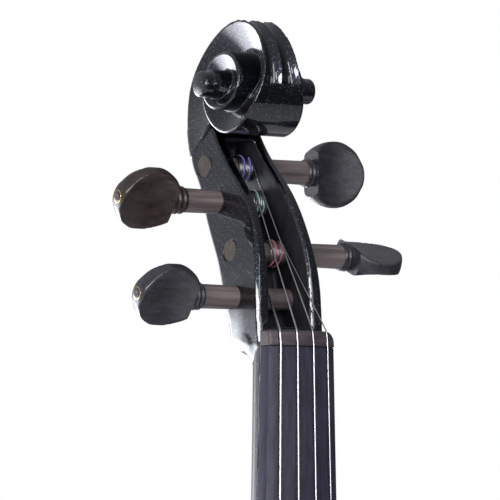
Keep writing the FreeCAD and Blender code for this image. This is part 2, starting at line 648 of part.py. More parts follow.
def tail_cord():
    """The cord from the tailpiece over the saddle and round the endpin's collar."""
    radius = 1.9
    ring_radius = 15.15 + radius
    hold_z = COLLAR_TOP - 9.0
    treble = [TAIL.multVec(V(6, -3.5, TAIL_START + 18)), TAIL.multVec(V(6, -3.5, TAIL_START - 2)),
              V(7, SADDLE_TOP.y - radius - 0.3, 69.5), V(7.2, SADDLE_TOP.y - radius - 0.3, 61.5),
              V(7.6, SADDLE_TOP.y + 0.6, 57.4)]
    bass = [V(-point.x, point.y, point.z) for point in reversed(treble)]
    turns = [math.radians(15 * step) for step in range(13)]
    loop = [V(ring_radius * math.cos(turn), ring_radius * math.sin(turn), hold_z) for turn in turns]
    return tube(treble + loop + bass, radius)


# ---- endpin -------------------------------------------------------------------------------------------------------
def endpin_socket():
    """The wooden plug with its collar, bored for the rod and drilled for the thumb screw."""
    collar = Part.makeCylinder(15.0, COLLAR_TOP - COLLAR_BOTTOM - 10, V(0, 0, COLLAR_BOTTOM + 10), V(0, 0, 1))
    plug = Part.makeCone(13.0, 11.5, SOCKET_TOP - COLLAR_TOP, V(0, 0, COLLAR_TOP), V(0, 0, 1))
    solid = joined([collar, plug])
    return solid.cut(Part.makeCylinder(SOCKET_BORE, 200, V(0, 0, 0), V(0, 0, 1)))


def endpin_ferrule():
    """The metal ring under the collar that takes the thumb screw."""
    ring = Part.makeCylinder(12.0, 10, V(0, 0, COLLAR_BOTTOM), V(0, 0, 1))
    ring = ring.cut(Part.makeCylinder(SOCKET_BORE, 200, V(0, 0, 0), V(0, 0, 1)))
    return ring.cut(Part.makeCylinder(3.05, 40, V(0, 0, THUMB_Z - 1.5), V(1, 0, 0)))


def thumb_screw():
    """The screw that clamps the rod, with a wing to turn it."""
    z = THUMB_Z - 1.5
    shaft = Part.makeCylinder(3.0, 22, V(ROD_RADIUS + 0.3, 0, z), V(1, 0, 0))
    wing = block((26, -11, z - 1.6), (36, 11, z + 1.6))
    wing = wing.makeFillet(1.2, wing.Edges)
    hub = Part.makeCylinder(4.6, 4, V(23.5, 0, z), V(1, 0, 0))
    return joined([shaft, hub, wing])


def endpin_rod():
    """The sliding steel rod above its turned-down nose."""
    return Part.makeCylinder(ROD_RADIUS, ROD_LENGTH - NOSE_LENGTH, V(0, 0, NOSE_LENGTH), V(0, 0, 1))


def endpin_spike():
    """The rod's nose, which takes a rubber tip, and the point below it."""
    nose = Part.makeCylinder(NOSE_RADIUS, NOSE_LENGTH, V(0, 0, 0), V(0, 0, 1))
    point = Part.makeCone(0.8, NOSE_RADIUS, SPIKE_LENGTH, V(0, 0, -SPIKE_LENGTH), V(0, 0, 1))
    return joined([nose, point])


def main():
    neck = neck_and_scroll()
    save("neck_and_scroll", neck)
    save("fingerboard", fingerboard())

    routes = {row[0]: string_route(row) for row in STRINGS}
    strings = {row[0]: tube(routes[row[0]], row[1]) for row in STRINGS}
    nut = nut_block()
    bridge = bridge_blank()
    ridge = tail_fret()
    for name, string in strings.items():
        save(f"string_{name}", string)
        nut = largest(nut.cut(string))
        bridge = bridge.cut(string)
        ridge = ridge.cut(string)
    save("nut", nut)

    for peg in PEGS:
        for suffix, shape in zip(("", "_ring", "_dot", "_winding"), peg_parts(peg)):
            save(f"peg_{peg[0]}{suffix}", shape)

    top, back = plate(-1), plate(1)
    for side in (1, -1):
        tool = sound_hole() if side > 0 else bass_side(sound_hole())
        top = top.cut(tool)
    lower, middle, upper = strips(EDGE_OVERHANG, RIB_THICKNESS, -HALF_RIB, HALF_RIB)
    ribs = {"lower": lower, "middle": middle, "upper": upper}
    ring = [lower, middle, upper] + [bass_side(rib) for rib in (lower, middle, upper)]
    room = prism(outline_edges(), V(0, RIB_HEIGHT, 0))
    room.translate(V(0, -HALF_RIB, 0))
    for rib in ring:
        room = room.cut(rib)
    room = largest(room)

    far = 300
    top_z = BODY_BOTTOM + BODY_LENGTH
    top_block = largest(room.common(block((-45, -far, top_z - 44), (45, far, top_z))))
    bottom_block = largest(room.common(block((-42, -far, BODY_BOTTOM), (42, far, BODY_BOTTOM + 38))))
    corner_boxes = [block((150, -far, BODY_BOTTOM + 305), (200, far, BODY_BOTTOM + 350)),
                    block((132, -far, BODY_BOTTOM + 490), (180, far, BODY_BOTTOM + 535))]
    corners = [largest(room.common(box)) for box in corner_boxes]
    corners += [bass_side(corner) for corner in corners]

    socket = endpin_socket()
    saddle = block((-17, SADDLE_TOP.y, BODY_BOTTOM + 0.5), (17, -HALF_RIB, BODY_BOTTOM + 9))
    saddle = saddle.makeFillet(3.0, [edge for edge in saddle.Edges if abs(edge.CenterOfMass.y - SADDLE_TOP.y) < 0.1
                                     and abs(edge.CenterOfMass.x) < 0.1])
    save("saddle", saddle)
    top = largest(top.cut(neck).cut(saddle))
    back = largest(back.cut(neck))
    save("top_plate", top)
    save("back_plate", back)
    for name, rib in ribs.items():
        for side, label in ((1, "treble"), (-1, "bass")):
            piece = rib if side > 0 else bass_side(rib)
            save(f"{name}_rib_{label}", largest(piece.cut(neck).cut(socket)))

    linings = []
    for y_low, y_high in ((-HALF_RIB, LINING_HEIGHT - HALF_RIB), (HALF_RIB - LINING_HEIGHT, HALF_RIB)):
        for piece in strips(EDGE_OVERHANG + RIB_THICKNESS, LINING_THICKNESS, y_low, y_high):
            for filler in [top_block, bottom_block] + corners[:2]:
                piece = piece.cut(filler)
            piece = largest(largest(piece).common(room))
            linings += [piece, bass_side(piece)]
    save("linings", grouped(linings))
    save("corner_blocks", grouped(corners))
    save("top_block", largest(top_block.cut(neck)))
    save("bottom_block", largest(bottom_block.cut(socket)))

    inner_top = arch_face(-1)
    inner_top.translate(V(0, PLATE_THICKNESS, 0))
    above = inner_top.extrude(V(0, -100, 0))
    inner_back = arch_face(1)
    inner_back.translate(V(0, -PLATE_THICKNESS, 0))
    behind = inner_back.extrude(V(0, 100, 0))
    bar_profile = [V(-28, -120, 150), V(-28, -62, 150), V(-28, -55, 300), V(-28, -52, 440), V(-28, -56, 580),
                   V(-28, -66, 730), V(-28, -120, 730)]
    bar = largest(outline_prism(bar_profile, V(11, 0, 0)).cut(above))
    save("bass_bar", bar)
    post = Part.makeCylinder(5.5, 220, V(24, -110, BRIDGE_Z - 22), V(0, 1, 0))
    save("sound_post", largest(post.cut(above).cut(behind)))
    over_top = arch_face(-1).extrude(V(0, 100, 0))
    bridge = largest(bridge.cut(over_top))
    save("bridge", bridge)

    tail = tailpiece()
    ridge = largest(ridge)
    cord = tail_cord()
    tail = largest(tail.cut(ridge).cut(cord))
    save("tailpiece", tail)
    save("tailpiece_fret", ridge)
    save("tail_cord", cord)
    save("tuner_pins", grouped([on_tail(lever_pin(row[4])) for row in STRINGS]))
    for row in STRINGS:
        save(f"tuner_lever_{row[0]}", lever(row[4]))
        save(f"tuner_screw_{row[0]}", tuner_screw(row[4]))

    save("endpin_socket", socket)
    save("endpin_ferrule", endpin_ferrule())
    save("endpin_thumb_screw", thumb_screw())
    save("endpin_rod", endpin_rod())
    save("endpin_spike", endpin_spike())


main()
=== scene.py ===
import json
import math
import bpy
import bmesh
import numpy as np
from mathutils import Matrix, Vector

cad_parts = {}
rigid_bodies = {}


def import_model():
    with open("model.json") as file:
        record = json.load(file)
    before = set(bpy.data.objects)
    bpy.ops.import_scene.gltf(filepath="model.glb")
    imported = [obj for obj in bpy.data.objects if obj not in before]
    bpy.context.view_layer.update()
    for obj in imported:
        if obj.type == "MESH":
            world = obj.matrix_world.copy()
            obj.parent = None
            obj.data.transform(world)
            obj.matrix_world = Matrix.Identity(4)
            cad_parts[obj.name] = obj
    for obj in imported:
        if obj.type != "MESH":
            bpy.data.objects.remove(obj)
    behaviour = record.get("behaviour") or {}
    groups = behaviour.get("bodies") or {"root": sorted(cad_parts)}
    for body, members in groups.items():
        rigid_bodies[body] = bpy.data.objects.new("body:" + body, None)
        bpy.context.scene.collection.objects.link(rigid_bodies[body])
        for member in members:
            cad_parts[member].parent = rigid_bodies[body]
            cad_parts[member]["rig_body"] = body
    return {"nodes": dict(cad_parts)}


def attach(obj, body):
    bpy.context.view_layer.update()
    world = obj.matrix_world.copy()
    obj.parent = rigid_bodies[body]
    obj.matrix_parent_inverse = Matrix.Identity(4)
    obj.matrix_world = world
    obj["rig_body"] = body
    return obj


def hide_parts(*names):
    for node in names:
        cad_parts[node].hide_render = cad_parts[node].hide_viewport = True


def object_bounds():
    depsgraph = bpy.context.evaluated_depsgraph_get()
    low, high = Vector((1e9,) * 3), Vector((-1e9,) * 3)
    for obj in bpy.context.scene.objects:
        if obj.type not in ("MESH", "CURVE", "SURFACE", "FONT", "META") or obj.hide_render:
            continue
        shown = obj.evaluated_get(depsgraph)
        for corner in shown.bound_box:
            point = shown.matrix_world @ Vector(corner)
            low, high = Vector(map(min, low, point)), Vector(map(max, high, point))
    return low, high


# A full-size cello in gloss black lacquer. Blender works in metres. The head's shapes are worked out in millimetres
# in the neck's own frame: x towards the treble, y towards the back, z up the glue face, 0 at the foot of the nut.

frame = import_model()
cad_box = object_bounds()
NODES = frame["nodes"]

MM = 0.001
NECK_ANGLE = math.radians(9.75)
NUT_FOOT = np.array([0.0, -34.6, 1091.0])
TAIL_LEAN = math.atan2(0.2766, 0.961)
SADDLE_TOP = np.array([0.0, -74.0, 64.0])


def turned_about_x(points, angle):
    """Points turned about the x axis by the right-hand rule."""
    x, y, z = np.asarray(points, float).T
    return np.stack([x, y * math.cos(angle) - z * math.sin(angle), y * math.sin(angle) + z * math.cos(angle)], -1)


def neck_to_cello(points):
    """Millimetres in the neck's frame to metres in the cello's frame."""
    return (turned_about_x(points, -NECK_ANGLE) + NUT_FOOT) * MM


def tail_to_cello(points):
    """Millimetres in the tailpiece's frame to metres in the cello's frame."""
    return (turned_about_x(points, TAIL_LEAN) + SADDLE_TOP) * MM


# ---- smooth tables and solids as fields ----
class Curve:
    """A smooth curve through (place, value) rows that runs on straight beyond its ends."""

    def __init__(self, rows):
        self.place, self.value = np.array(rows, float).T
        count = len(rows)
        gap = np.diff(self.place)
        rise = np.diff(self.value) / gap
        system = np.eye(count)
        right = np.zeros(count)
        for i in range(1, count - 1):
            system[i, i - 1:i + 2] = gap[i - 1], 2 * (gap[i - 1] + gap[i]), gap[i]
            right[i] = 6 * (rise[i] - rise[i - 1])
        self.bend = np.linalg.solve(system, right)
        self.first_slope = rise[0] - gap[0] * self.bend[1] / 6
        self.last_slope = rise[-1] + gap[-1] * self.bend[-2] / 6

    def __call__(self, where):
        where = np.asarray(where, float)
        held = np.clip(where, self.place[0], self.place[-1])
        i = np.clip(np.searchsorted(self.place, held) - 1, 0, len(self.place) - 2)
        gap = self.place[i + 1] - self.place[i]
        a = (self.place[i + 1] - held) / gap
        b = 1 - a
        cubic = ((a ** 3 - a) * self.bend[i] + (b ** 3 - b) * self.bend[i + 1]) * gap * gap / 6
        beyond = where - held
        slope = np.where(beyond < 0, self.first_slope, self.last_slope)
        return a * self.value[i] + b * self.value[i + 1] + cubic + beyond * slope

    def slope(self, where):
        return (self(where + 0.05) - self(where - 0.05)) / 0.1

    def even(self, where):
        """What a height above this curve is worth as a distance."""
        return 1 / np.sqrt(1 + self.slope(where) ** 2)


def both(a, b, radius):
    """The overlap of two solids, with its edge rounded."""
    corner = np.hypot(np.maximum(a + radius, 0), np.maximum(b + radius, 0))
    return np.minimum(-radius, np.maximum(a, b)) + corner


def either(a, b, radius):
    """Two solids joined, with a fillet where they meet."""
    return -both(-a, -b, radius)


def chamfered(a, b, width):
    """The overlap of two solids, with its edge cut off flat."""
    return both(np.maximum(a, b), (a + b + width) * math.sqrt(0.5), 0.25)


def gradient(field, points, step=0.04):
    """The field's slope at points, from its values to either side."""
    columns = []
    for axis in range(3):
        shift = np.zeros(3)
        shift[axis] = step
        ahead, behind = points + shift, points - shift
        columns.append((field(*ahead.T) - field(*behind.T)) / (2 * step))
    return np.stack(columns, -1)


def skinned(field, xs, ys, zs):
    """A closed skin of quads on the zero surface of a field, with its outward normals."""
    levels = np.empty((len(xs), len(ys), len(zs)))
    for k in range(0, len(zs), 24):
        x, y, z = np.meshgrid(xs, ys, zs[k:k + 24], indexing="ij")
        levels[:, :, k:k + 24] = field(x, y, z)
    solid = levels < 0
    size = np.array(levels.shape) - 1
    total = np.zeros((*size, 3))
    count = np.zeros(size)
    crossings = []
    axes = (xs, ys, zs)
    for axis in range(3):
        low = [slice(None)] * 3
        high = [slice(None)] * 3
        low[axis] = slice(0, -1)
        high[axis] = slice(1, None)
        a, b = levels[tuple(low)], levels[tuple(high)]
        crossed = solid[tuple(low)] != solid[tuple(high)]
        crossings.append(crossed)
        share = np.where(crossed, a / np.where(crossed, a - b, 1), 0)
        others = [other for other in range(3) if other != axis]
        for one in (0, 1):
            for two in (0, 1):
                # Each crossing is shared by the four cells round its edge.
                source = [slice(None)] * 3
                source[others[0]] = slice(one, one + size[others[0]])
                source[others[1]] = slice(two, two + size[others[1]])
                source = tuple(source)
                hit = crossed[source]
                count += hit
                index = np.indices(hit.shape)
                for other in range(3):
                    start = axes[other]
                    if other == axis:
                        place = start[index[other]] + share[source] * (start[index[other] + 1] - start[index[other]])
                    elif other == others[0]:
                        place = start[index[other] + one]
                    else:
                        place = start[index[other] + two]
                    total[..., other] += np.where(hit, place, 0)
    used = count > 0
    number = np.full(size, -1)
    number[used] = np.arange(used.sum())
    points = total[used] / count[used][:, None]
    quads = []
    for axis in range(3):
        others = [other for other in range(3) if other != axis]
        inner = [slice(None)] * 3
        inner[others[0]] = slice(1, -1)
        inner[others[1]] = slice(1, -1)
        found = np.argwhere(crossings[axis][tuple(inner)])
        found[:, others[0]] += 1
        found[:, others[1]] += 1
        inside_first = solid[tuple(found.T)]
        corners = []
        for one, two in ((-1, -1), (0, -1), (0, 0), (-1, 0)):
            cell = found.copy()
            cell[:, others[0]] += one
            cell[:, others[1]] += two
            corners.append(number[tuple(cell.T)])
        ring = np.stack(corners, -1)
        flip = inside_first if axis == 1 else ~inside_first
        ring[flip] = ring[flip][:, ::-1]
        quads.append(ring)
    for _ in range(4):
        slope = gradient(field, points)
        level = field(*points.T)
        move = slope * (level / np.maximum((slope ** 2).sum(-1), 0.05))[:, None]
        length = np.linalg.norm(move, axis=-1, keepdims=True)
        points -= move * np.minimum(1, 0.6 / np.maximum(length, 1e-9))
    slope = gradient(field, points)
    normals = slope / np.maximum(np.linalg.norm(slope, axis=-1, keepdims=True), 1e-9)
    return points, np.concatenate(quads), normals


# ---- finished pieces ----
def finished(piece, body, slot, *nodes):
    """Puts a piece on its body and hides the CAD nodes it stands for. The slot is not used."""
    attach(piece, body)
    if nodes:
        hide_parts(*nodes)
    return piece


def mesh_piece(name, points, faces, materials, normals=None, material_of=None):
    """A smooth mesh object from arrays in metres."""
    mesh = bpy.data.meshes.new(name)
    mesh.from_pydata(np.asarray(points).tolist(), [], [list(face) for face in faces])
    mesh.validate()
    for material in materials:
        mesh.materials.append(material)
    mesh.polygons.foreach_set("use_smooth", [True] * len(mesh.polygons))
    if material_of is not None:
        mesh.polygons.foreach_set("material_index", material_of)
    if normals is not None:
        mesh.normals_split_custom_set_from_vertices(np.asarray(normals).tolist())
    mesh.update()
    piece = bpy.data.objects.new(name, mesh)
    bpy.context.scene.collection.objects.link(piece)
    return piece


def baked(piece):
    """The piece with its modifiers made real, at the origin, as a plain mesh."""
    graph = bpy.context.evaluated_depsgraph_get()
    mesh = bpy.data.meshes.new_from_object(piece.evaluated_get(graph))
    name = piece.name
    bpy.data.objects.remove(piece)
    mesh.name = name
    result = bpy.data.objects.new(name, mesh)
    bpy.context.scene.collection.objects.link(result)
    return result


def refined(node, material, slot, bevel=0.3, angle=32.0):
    """A smoother stand-in for a CAD node: merged, its edges broken by a small bevel."""
    source = NODES[node]
    mesh = source.data.copy()
    worker = bmesh.new()
    worker.from_mesh(mesh)
    bmesh.ops.remove_doubles(worker, verts=worker.verts, dist=2e-6)
    bmesh.ops.dissolve_limit(worker, angle_limit=math.radians(0.6), verts=worker.verts, edges=worker.edges)
    worker.to_mesh(mesh)
    worker.free()
    mesh.materials.clear()
    mesh.materials.append(material)
    piece = bpy.data.objects.new(node + "_shell", mesh)
    bpy.context.scene.collection.objects.link(piece)
    mesh.polygons.foreach_set("use_smooth", [True] * len(mesh.polygons))
    mesh.set_sharp_from_angle(angle=math.radians(angle))
    if bevel:
        edge = piece.modifiers.new("edge", "BEVEL")
        edge.width = bevel * MM
        edge.segments = 2
        edge.limit_method = "ANGLE"
        edge.angle_limit = math.radians(angle)
        edge.use_clamp_overlap = True
        edge.harden_normals = False
        piece = baked(piece)
        piece.data.set_sharp_from_angle(angle=math.radians(50))
    return finished(piece, source["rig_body"], slot, node)


# ---- shader groups ----
def new_tree(kind, name, inputs, outputs):
    """An empty node group with named sockets."""
    tree = bpy.data.node_groups.new(name, kind)
    for label, socket_type, value in inputs:
        socket = tree.interface.new_socket(label, in_out="INPUT", socket_type=socket_type)
        if value is not None:
            socket.default_value = value
    for label, socket_type in outputs:
        tree.interface.new_socket(label, in_out="OUTPUT", socket_type=socket_type)
    return tree, tree.nodes.new("NodeGroupInput"), tree.nodes.new("NodeGroupOutput")


def new_group(name, inputs, outputs):
    return new_tree("ShaderNodeTree", name, inputs, outputs)


def add_node(tree, kind, **settings):
    node = tree.nodes.new(kind)
    for key, value in settings.items():
        setattr(node, key, value)
    return node


def compute(tree, operation, first, second):
    """The result of one sum on two sockets or numbers."""
    node = add_node(tree, "ShaderNodeMath", operation=operation)
    for socket, value in zip(node.inputs, (first, second)):
        if isinstance(value, float):
            socket.default_value = value
        else:
            tree.links.new(value, socket)
    return node.outputs[0]


def mapped(tree, source, scale):
    """Coordinates stretched by a scale in each direction."""
    mapping = add_node(tree, "ShaderNodeMapping")
    mapping.inputs["Scale"].default_value = scale
    tree.links.new(source, mapping.inputs["Vector"])
    return mapping.outputs["Vector"]


def ramp(tree, source, stops):
    """A colour ramp with (place, grey or colour) stops."""
    node = add_node(tree, "ShaderNodeValToRGB")
    elements = node.color_ramp.elements
    while len(elements) < len(stops):
        elements.new(0.5)
    for element, (place, value) in zip(elements, stops):
        element.position = place
        element.color = (value, value, value, 1) if isinstance(value, (int, float)) else (*value, 1)
    tree.links.new(source, node.inputs["Fac"])
    return node.outputs["Color"]


def fleck_group():
    """Fine metal flakes under lacquer: how much of each spot is flake, and the flake's own tint."""
    group, inside, outside = new_group("metal_flecks", [("Vector", "NodeSocketVector", None),
                                                        ("Scale", "NodeSocketFloat", 1900.0),
                                                        ("Share", "NodeSocketFloat", 0.1)],
                                       [("Flake", "NodeSocketFloat"), ("Tint", "NodeSocketColor")])
    cells = add_node(group, "ShaderNodeTexVoronoi", feature="F1")
    group.links.new(inside.outputs["Vector"], cells.inputs["Vector"])
    group.links.new(inside.outputs["Scale"], cells.inputs["Scale"])
    split = add_node(group, "ShaderNodeSeparateColor")
    group.links.new(cells.outputs["Color"], split.inputs["Color"])
    chosen = compute(group, "LESS_THAN", split.outputs["Red"], inside.outputs["Share"])
    near = compute(group, "LESS_THAN", cells.outputs["Distance"], 0.45)
    group.links.new(compute(group, "MULTIPLY", chosen, near), outside.inputs["Flake"])
    group.links.new(ramp(group, split.outputs["Green"], [(0, (0.012, 0.016, 0.030)), (0.6, (0.05, 0.06, 0.09)),
                                                         (1, (0.26, 0.29, 0.35))]), outside.inputs["Tint"])
    return group


def grain_group():
    """Long wood grain: a streak mask and a pore height, from stretched noise."""
    group, inside, outside = new_group("wood_grain", [("Vector", "NodeSocketVector", None),
                                                      ("Scale", "NodeSocketFloat", 300.0),
                                                      ("Detail", "NodeSocketFloat", 6.0)],
                                       [("Streak", "NodeSocketFloat"), ("Pores", "NodeSocketFloat")])
    broad = add_node(group, "ShaderNodeTexNoise")
    fine = add_node(group, "ShaderNodeTexNoise")
    for node in (broad, fine):
        group.links.new(inside.outputs["Vector"], node.inputs["Vector"])
        group.links.new(inside.outputs["Detail"], node.inputs["Detail"])
        node.inputs["Roughness"].default_value = 0.6
    group.links.new(inside.outputs["Scale"], broad.inputs["Scale"])
    group.links.new(compute(group, "MULTIPLY", inside.outputs["Scale"], 3.3), fine.inputs["Scale"])
    group.links.new(ramp(group, broad.outputs["Fac"], [(0.34, 0.0), (0.66, 1.0)]), outside.inputs["Streak"])
    group.links.new(ramp(group, fine.outputs["Fac"], [(0.38, 0.0), (0.5, 1.0)]), outside.inputs["Pores"])
    return group


def handling_group():
    """Faint smears and rubbed patches, as a roughness that changes over the surface."""
    group, inside, outside = new_group("handling", [("Vector", "NodeSocketVector", None),
                                                    ("Scale", "NodeSocketFloat", 60.0),
                                                    ("Low", "NodeSocketFloat", 0.2),
                                                    ("High", "NodeSocketFloat", 0.3)],
                                       [("Roughness", "NodeSocketFloat")])
    noise = add_node(group, "ShaderNodeTexNoise")
    noise.inputs["Detail"].default_value = 5
    group.links.new(inside.outputs["Vector"], noise.inputs["Vector"])
    group.links.new(inside.outputs["Scale"], noise.inputs["Scale"])
    spread = add_node(group, "ShaderNodeMapRange")
    spread.inputs["From Min"].default_value = 0.3
    spread.inputs["From Max"].default_value = 0.7
    group.links.new(noise.outputs["Fac"], spread.inputs["Value"])
    group.links.new(inside.outputs["Low"], spread.inputs["To Min"])
    group.links.new(inside.outputs["High"], spread.inputs["To Max"])
    group.links.new(spread.outputs["Result"], outside.inputs["Roughness"])
    return group


FLECKS = fleck_group()
GRAIN = grain_group()
HANDLING = handling_group()


def placed_group(tree, group, source, **values):
    """A shared group in a material, reading coordinates from a socket."""
    node = add_node(tree, "ShaderNodeGroup", node_tree=group)
    tree.links.new(source, node.inputs["Vector"])
    for label, value in values.items():
        node.inputs[label].default_value = value
    return node


def new_material(name, **sockets):
    """A material with its Principled shader's own values set, and its object coordinates."""
    material = bpy.data.materials.new(name)
    material.use_nodes = True
    tree = material.node_tree
    shader = tree.nodes["Principled BSDF"]
    for label, value in sockets.items():
        shader.inputs[label.replace("_", " ")].default_value = value
    place = add_node(tree, "ShaderNodeTexCoord").outputs["Object"]
    return material, tree, shader, place


def blended(tree, mask, low, high):
    """A colour between two, by a mask."""
    mix = add_node(tree, "ShaderNodeMix", data_type="RGBA")
    tree.links.new(mask, mix.inputs[0])
    for socket, colour in ((mix.inputs[6], low), (mix.inputs[7], high)):
        if isinstance(colour, tuple):
            socket.default_value = (*colour, 1)
        else:
            tree.links.new(colour, socket)
    return mix.outputs[2]


def noise_mask(tree, place, scale):
    noise = add_node(tree, "ShaderNodeTexNoise")
    noise.inputs["Scale"].default_value = scale
    tree.links.new(place, noise.inputs["Vector"])
    return noise.outputs["Fac"]


def rubbed(tree, shader, place, scale, low, high):
    """An uneven polish between two roughnesses."""
    rub = placed_group(tree, HANDLING, place, Scale=scale, Low=low, High=high)
    tree.links.new(rub.outputs["Roughness"], shader.inputs["Roughness"])


def bumped(tree, shader, height, strength, distance):
    bump = add_node(tree, "ShaderNodeBump")
    bump.inputs["Strength"].default_value = strength
    bump.inputs["Distance"].default_value = distance
    tree.links.new(height, bump.inputs["Height"])
    tree.links.new(bump.outputs["Normal"], shader.inputs["Normal"])


def lacquer():
    """Gloss black lacquer over a base coat with fine bluish flakes."""
    material, tree, shader, place = new_material("gloss_black_lacquer", Coat_Weight=1.0, Coat_Roughness=0.035,
                                                 Coat_IOR=1.5, Metallic=1.0)
    flecks = placed_group(tree, FLECKS, place, Scale=2700.0, Share=0.26)
    tree.links.new(blended(tree, flecks.outputs["Flake"], (0.006, 0.007, 0.011), flecks.outputs["Tint"]),
                   shader.inputs["Base Color"])
    rubbed(tree, shader, place, 45.0, 0.30, 0.40)
    ripple = noise_mask(tree, place, 55)
    bumped(tree, shader, ripple, 0.05, 0.002)
    return material


def wood(name, dark, light, stretch, low, high, shine, grain_scale, rub_scale, coat=0.0, coat_roughness=0.2):
    """Wood with streaks and pores along its length and an uneven polish."""
    material, tree, shader, place = new_material(name, Coat_Weight=coat, Coat_Roughness=coat_roughness,
                                                 Specular_IOR_Level=shine)
    pale = light[0] > PALE_WOOD_LEVEL
    grain = placed_group(tree, GRAIN, mapped(tree, place, stretch), Scale=grain_scale, Detail=8.0 if pale else 7.0)
    tree.links.new(blended(tree, grain.outputs["Streak"], dark, light), shader.inputs["Base Color"])
    rubbed(tree, shader, place, rub_scale, low, high)
    bumped(tree, shader, grain.outputs["Pores"], 0.2 if pale else 0.12, 0.0004 if pale else 0.0003)
    return material


PALE_WOOD_LEVEL = 0.3


def dark_wood(name, dark, light, low, high, stretch, coat=0.0, coat_roughness=0.2, shine=0.42):
    """Dense dark wood with fine streaks and a satin polish."""
    return wood(name, dark, light, stretch, low, high, shine, 420.0, 80.0, coat, coat_roughness)


def pale_wood(name, dark, light, stretch, roughness):
    """Light wood with clear year lines."""
    return wood(name, dark, light, stretch, roughness, roughness + 0.12, 0.35, 260.0, 70.0)


def plated(name, colour, low, high, scale=90.0):
    """Plated metal with faint wear in its polish."""
    material, tree, shader, place = new_material(name, Metallic=1.0)
    rubbed(tree, shader, place, scale, low, high)
    noise = noise_mask(tree, place, 200)
    dim = tuple(0.82 * part for part in colour)
    tree.links.new(blended(tree, noise, dim, colour), shader.inputs["Base Color"])
    return material


def wound_metal(name, colour):
    """Flat metal ribbon wound along a string."""
    material, tree, shader, place = new_material(name, Metallic=1.0)
    bands = add_node(tree, "ShaderNodeTexWave", wave_type="BANDS", bands_direction="Z")
    bands.inputs["Scale"].default_value = 900
    bands.inputs["Distortion"].default_value = 0.4
    tree.links.new(place, bands.inputs["Vector"])
    dim = tuple(0.8 * part for part in colour)
    tree.links.new(blended(tree, bands.outputs["Fac"], dim, colour), shader.inputs["Base Color"])
    rubbed(tree, shader, place, 300.0, 0.22, 0.38)
    bumped(tree, shader, bands.outputs["Fac"], 0.08, 0.0001)
    return material


def silk(name, colour, pale):
    """Twisted silk thread over a string's end."""
    material, tree, shader, place = new_material(name, Sheen_Weight=0.4, Specular_IOR_Level=0.3)
    noise = noise_mask(tree, place, 2600)
    tree.links.new(blended(tree, noise, colour, pale), shader.inputs["Base Color"])
    rubbed(tree, shader, place, 900.0, 0.5, 0.75)
    bumped(tree, shader, noise, 0.4, 0.0002)
    return material


def pearl():
    """A pearl inlay with soft drifting colour."""
    material, tree, shader, place = new_material("pearl_inlay", Coat_Weight=0.8, Coat_Roughness=0.05)
    noise = noise_mask(tree, place, 700)
    tree.links.new(ramp(tree, noise, [(0.3, (0.78, 0.86, 0.84)), (0.5, (0.93, 0.90, 0.86)),
                                                     (0.7, (0.88, 0.76, 0.80))]), shader.inputs["Base Color"])
    rubbed(tree, shader, place, 500.0, 0.15, 0.3)
    return material


LACQUER = lacquer()
SATIN_BLACK = dark_wood("satin_black_inside", (0.010, 0.010, 0.012), (0.020, 0.020, 0.024), 0.4, 0.55, (1, 1, 0.2),
                        shine=0.25)
EBONY = dark_wood("ebony_board", (0.015, 0.014, 0.025), (0.031, 0.029, 0.050), 0.36, 0.46, (1, 1, 0.03), shine=0.25)
NUT_EBONY = dark_wood("ebony_nut", (0.022, 0.017, 0.021), (0.066, 0.050, 0.056), 0.3, 0.42, (0.12, 1, 1), shine=0.3)
FITTINGS = dark_wood("ebony_fittings", (0.008, 0.008, 0.009), (0.022, 0.021, 0.022), 0.16, 0.28, (1, 1, 0.1), 0.6, 0.1)
KNOB_WOOD = dark_wood("peg_knob_wood", (0.014, 0.013, 0.017), (0.031, 0.029, 0.038), 0.26, 0.34, (0.25, 1, 1), 0.1)
BROWN_KNOB_WOOD = dark_wood("peg_knob_brown_wood", (0.010, 0.008, 0.007), (0.034, 0.022, 0.019), 0.25, 0.34,
                            (0.25, 1, 1), 0.1)
SHAFT_WOOD = dark_wood("peg_shaft_wood", (0.055, 0.043, 0.045), (0.15, 0.118, 0.12), 0.3, 0.42, (0.05, 1, 1), 0.15)
END_WOOD = dark_wood("peg_end_grain", (0.020, 0.015, 0.011), (0.052, 0.041, 0.031), 0.45, 0.6, (1, 1, 1), shine=0.2)
MAPLE = pale_wood("bridge_maple", (0.50, 0.31, 0.14), (0.68, 0.47, 0.25), (1, 1, 0.15), 0.42)
SPRUCE = pale_wood("bare_spruce", (0.55, 0.37, 0.19), (0.74, 0.56, 0.34), (1, 1, 0.08), 0.55)
GOLD = plated("gold_ring", (0.83, 0.58, 0.25), 0.12, 0.22)
NICKEL = plated("nickel_plate", (0.78, 0.77, 0.74), 0.08, 0.2)
STEEL = plated("endpin_steel", (0.62, 0.63, 0.65), 0.16, 0.3)
STRING_METAL = wound_metal("string_winding", (0.46, 0.45, 0.47))
# A darker copy of the string metal: painted shade for the turns wound on the pegs deep in the pegbox.
PEGBOX_SHADE_METAL = wound_metal("winding_painted_shade", (0.34, 0.32, 0.32))
NYLON = silk("black_nylon", (0.010, 0.010, 0.011), (0.03, 0.03, 0.032))
PEARL = pearl()


# ---- head and neck ----
NUT_WIDTH = 36.7
NUT_LENGTH = 7.4
BOARD_SIDE = 7.7
BOARD_RADIUS = 62.0
EYE_Y, EYE_Z = 32.9, 125.8
EYE_RADIUS, EYE_REACH = 6.2, 32.0
FLUTE_SHARE = 0.84

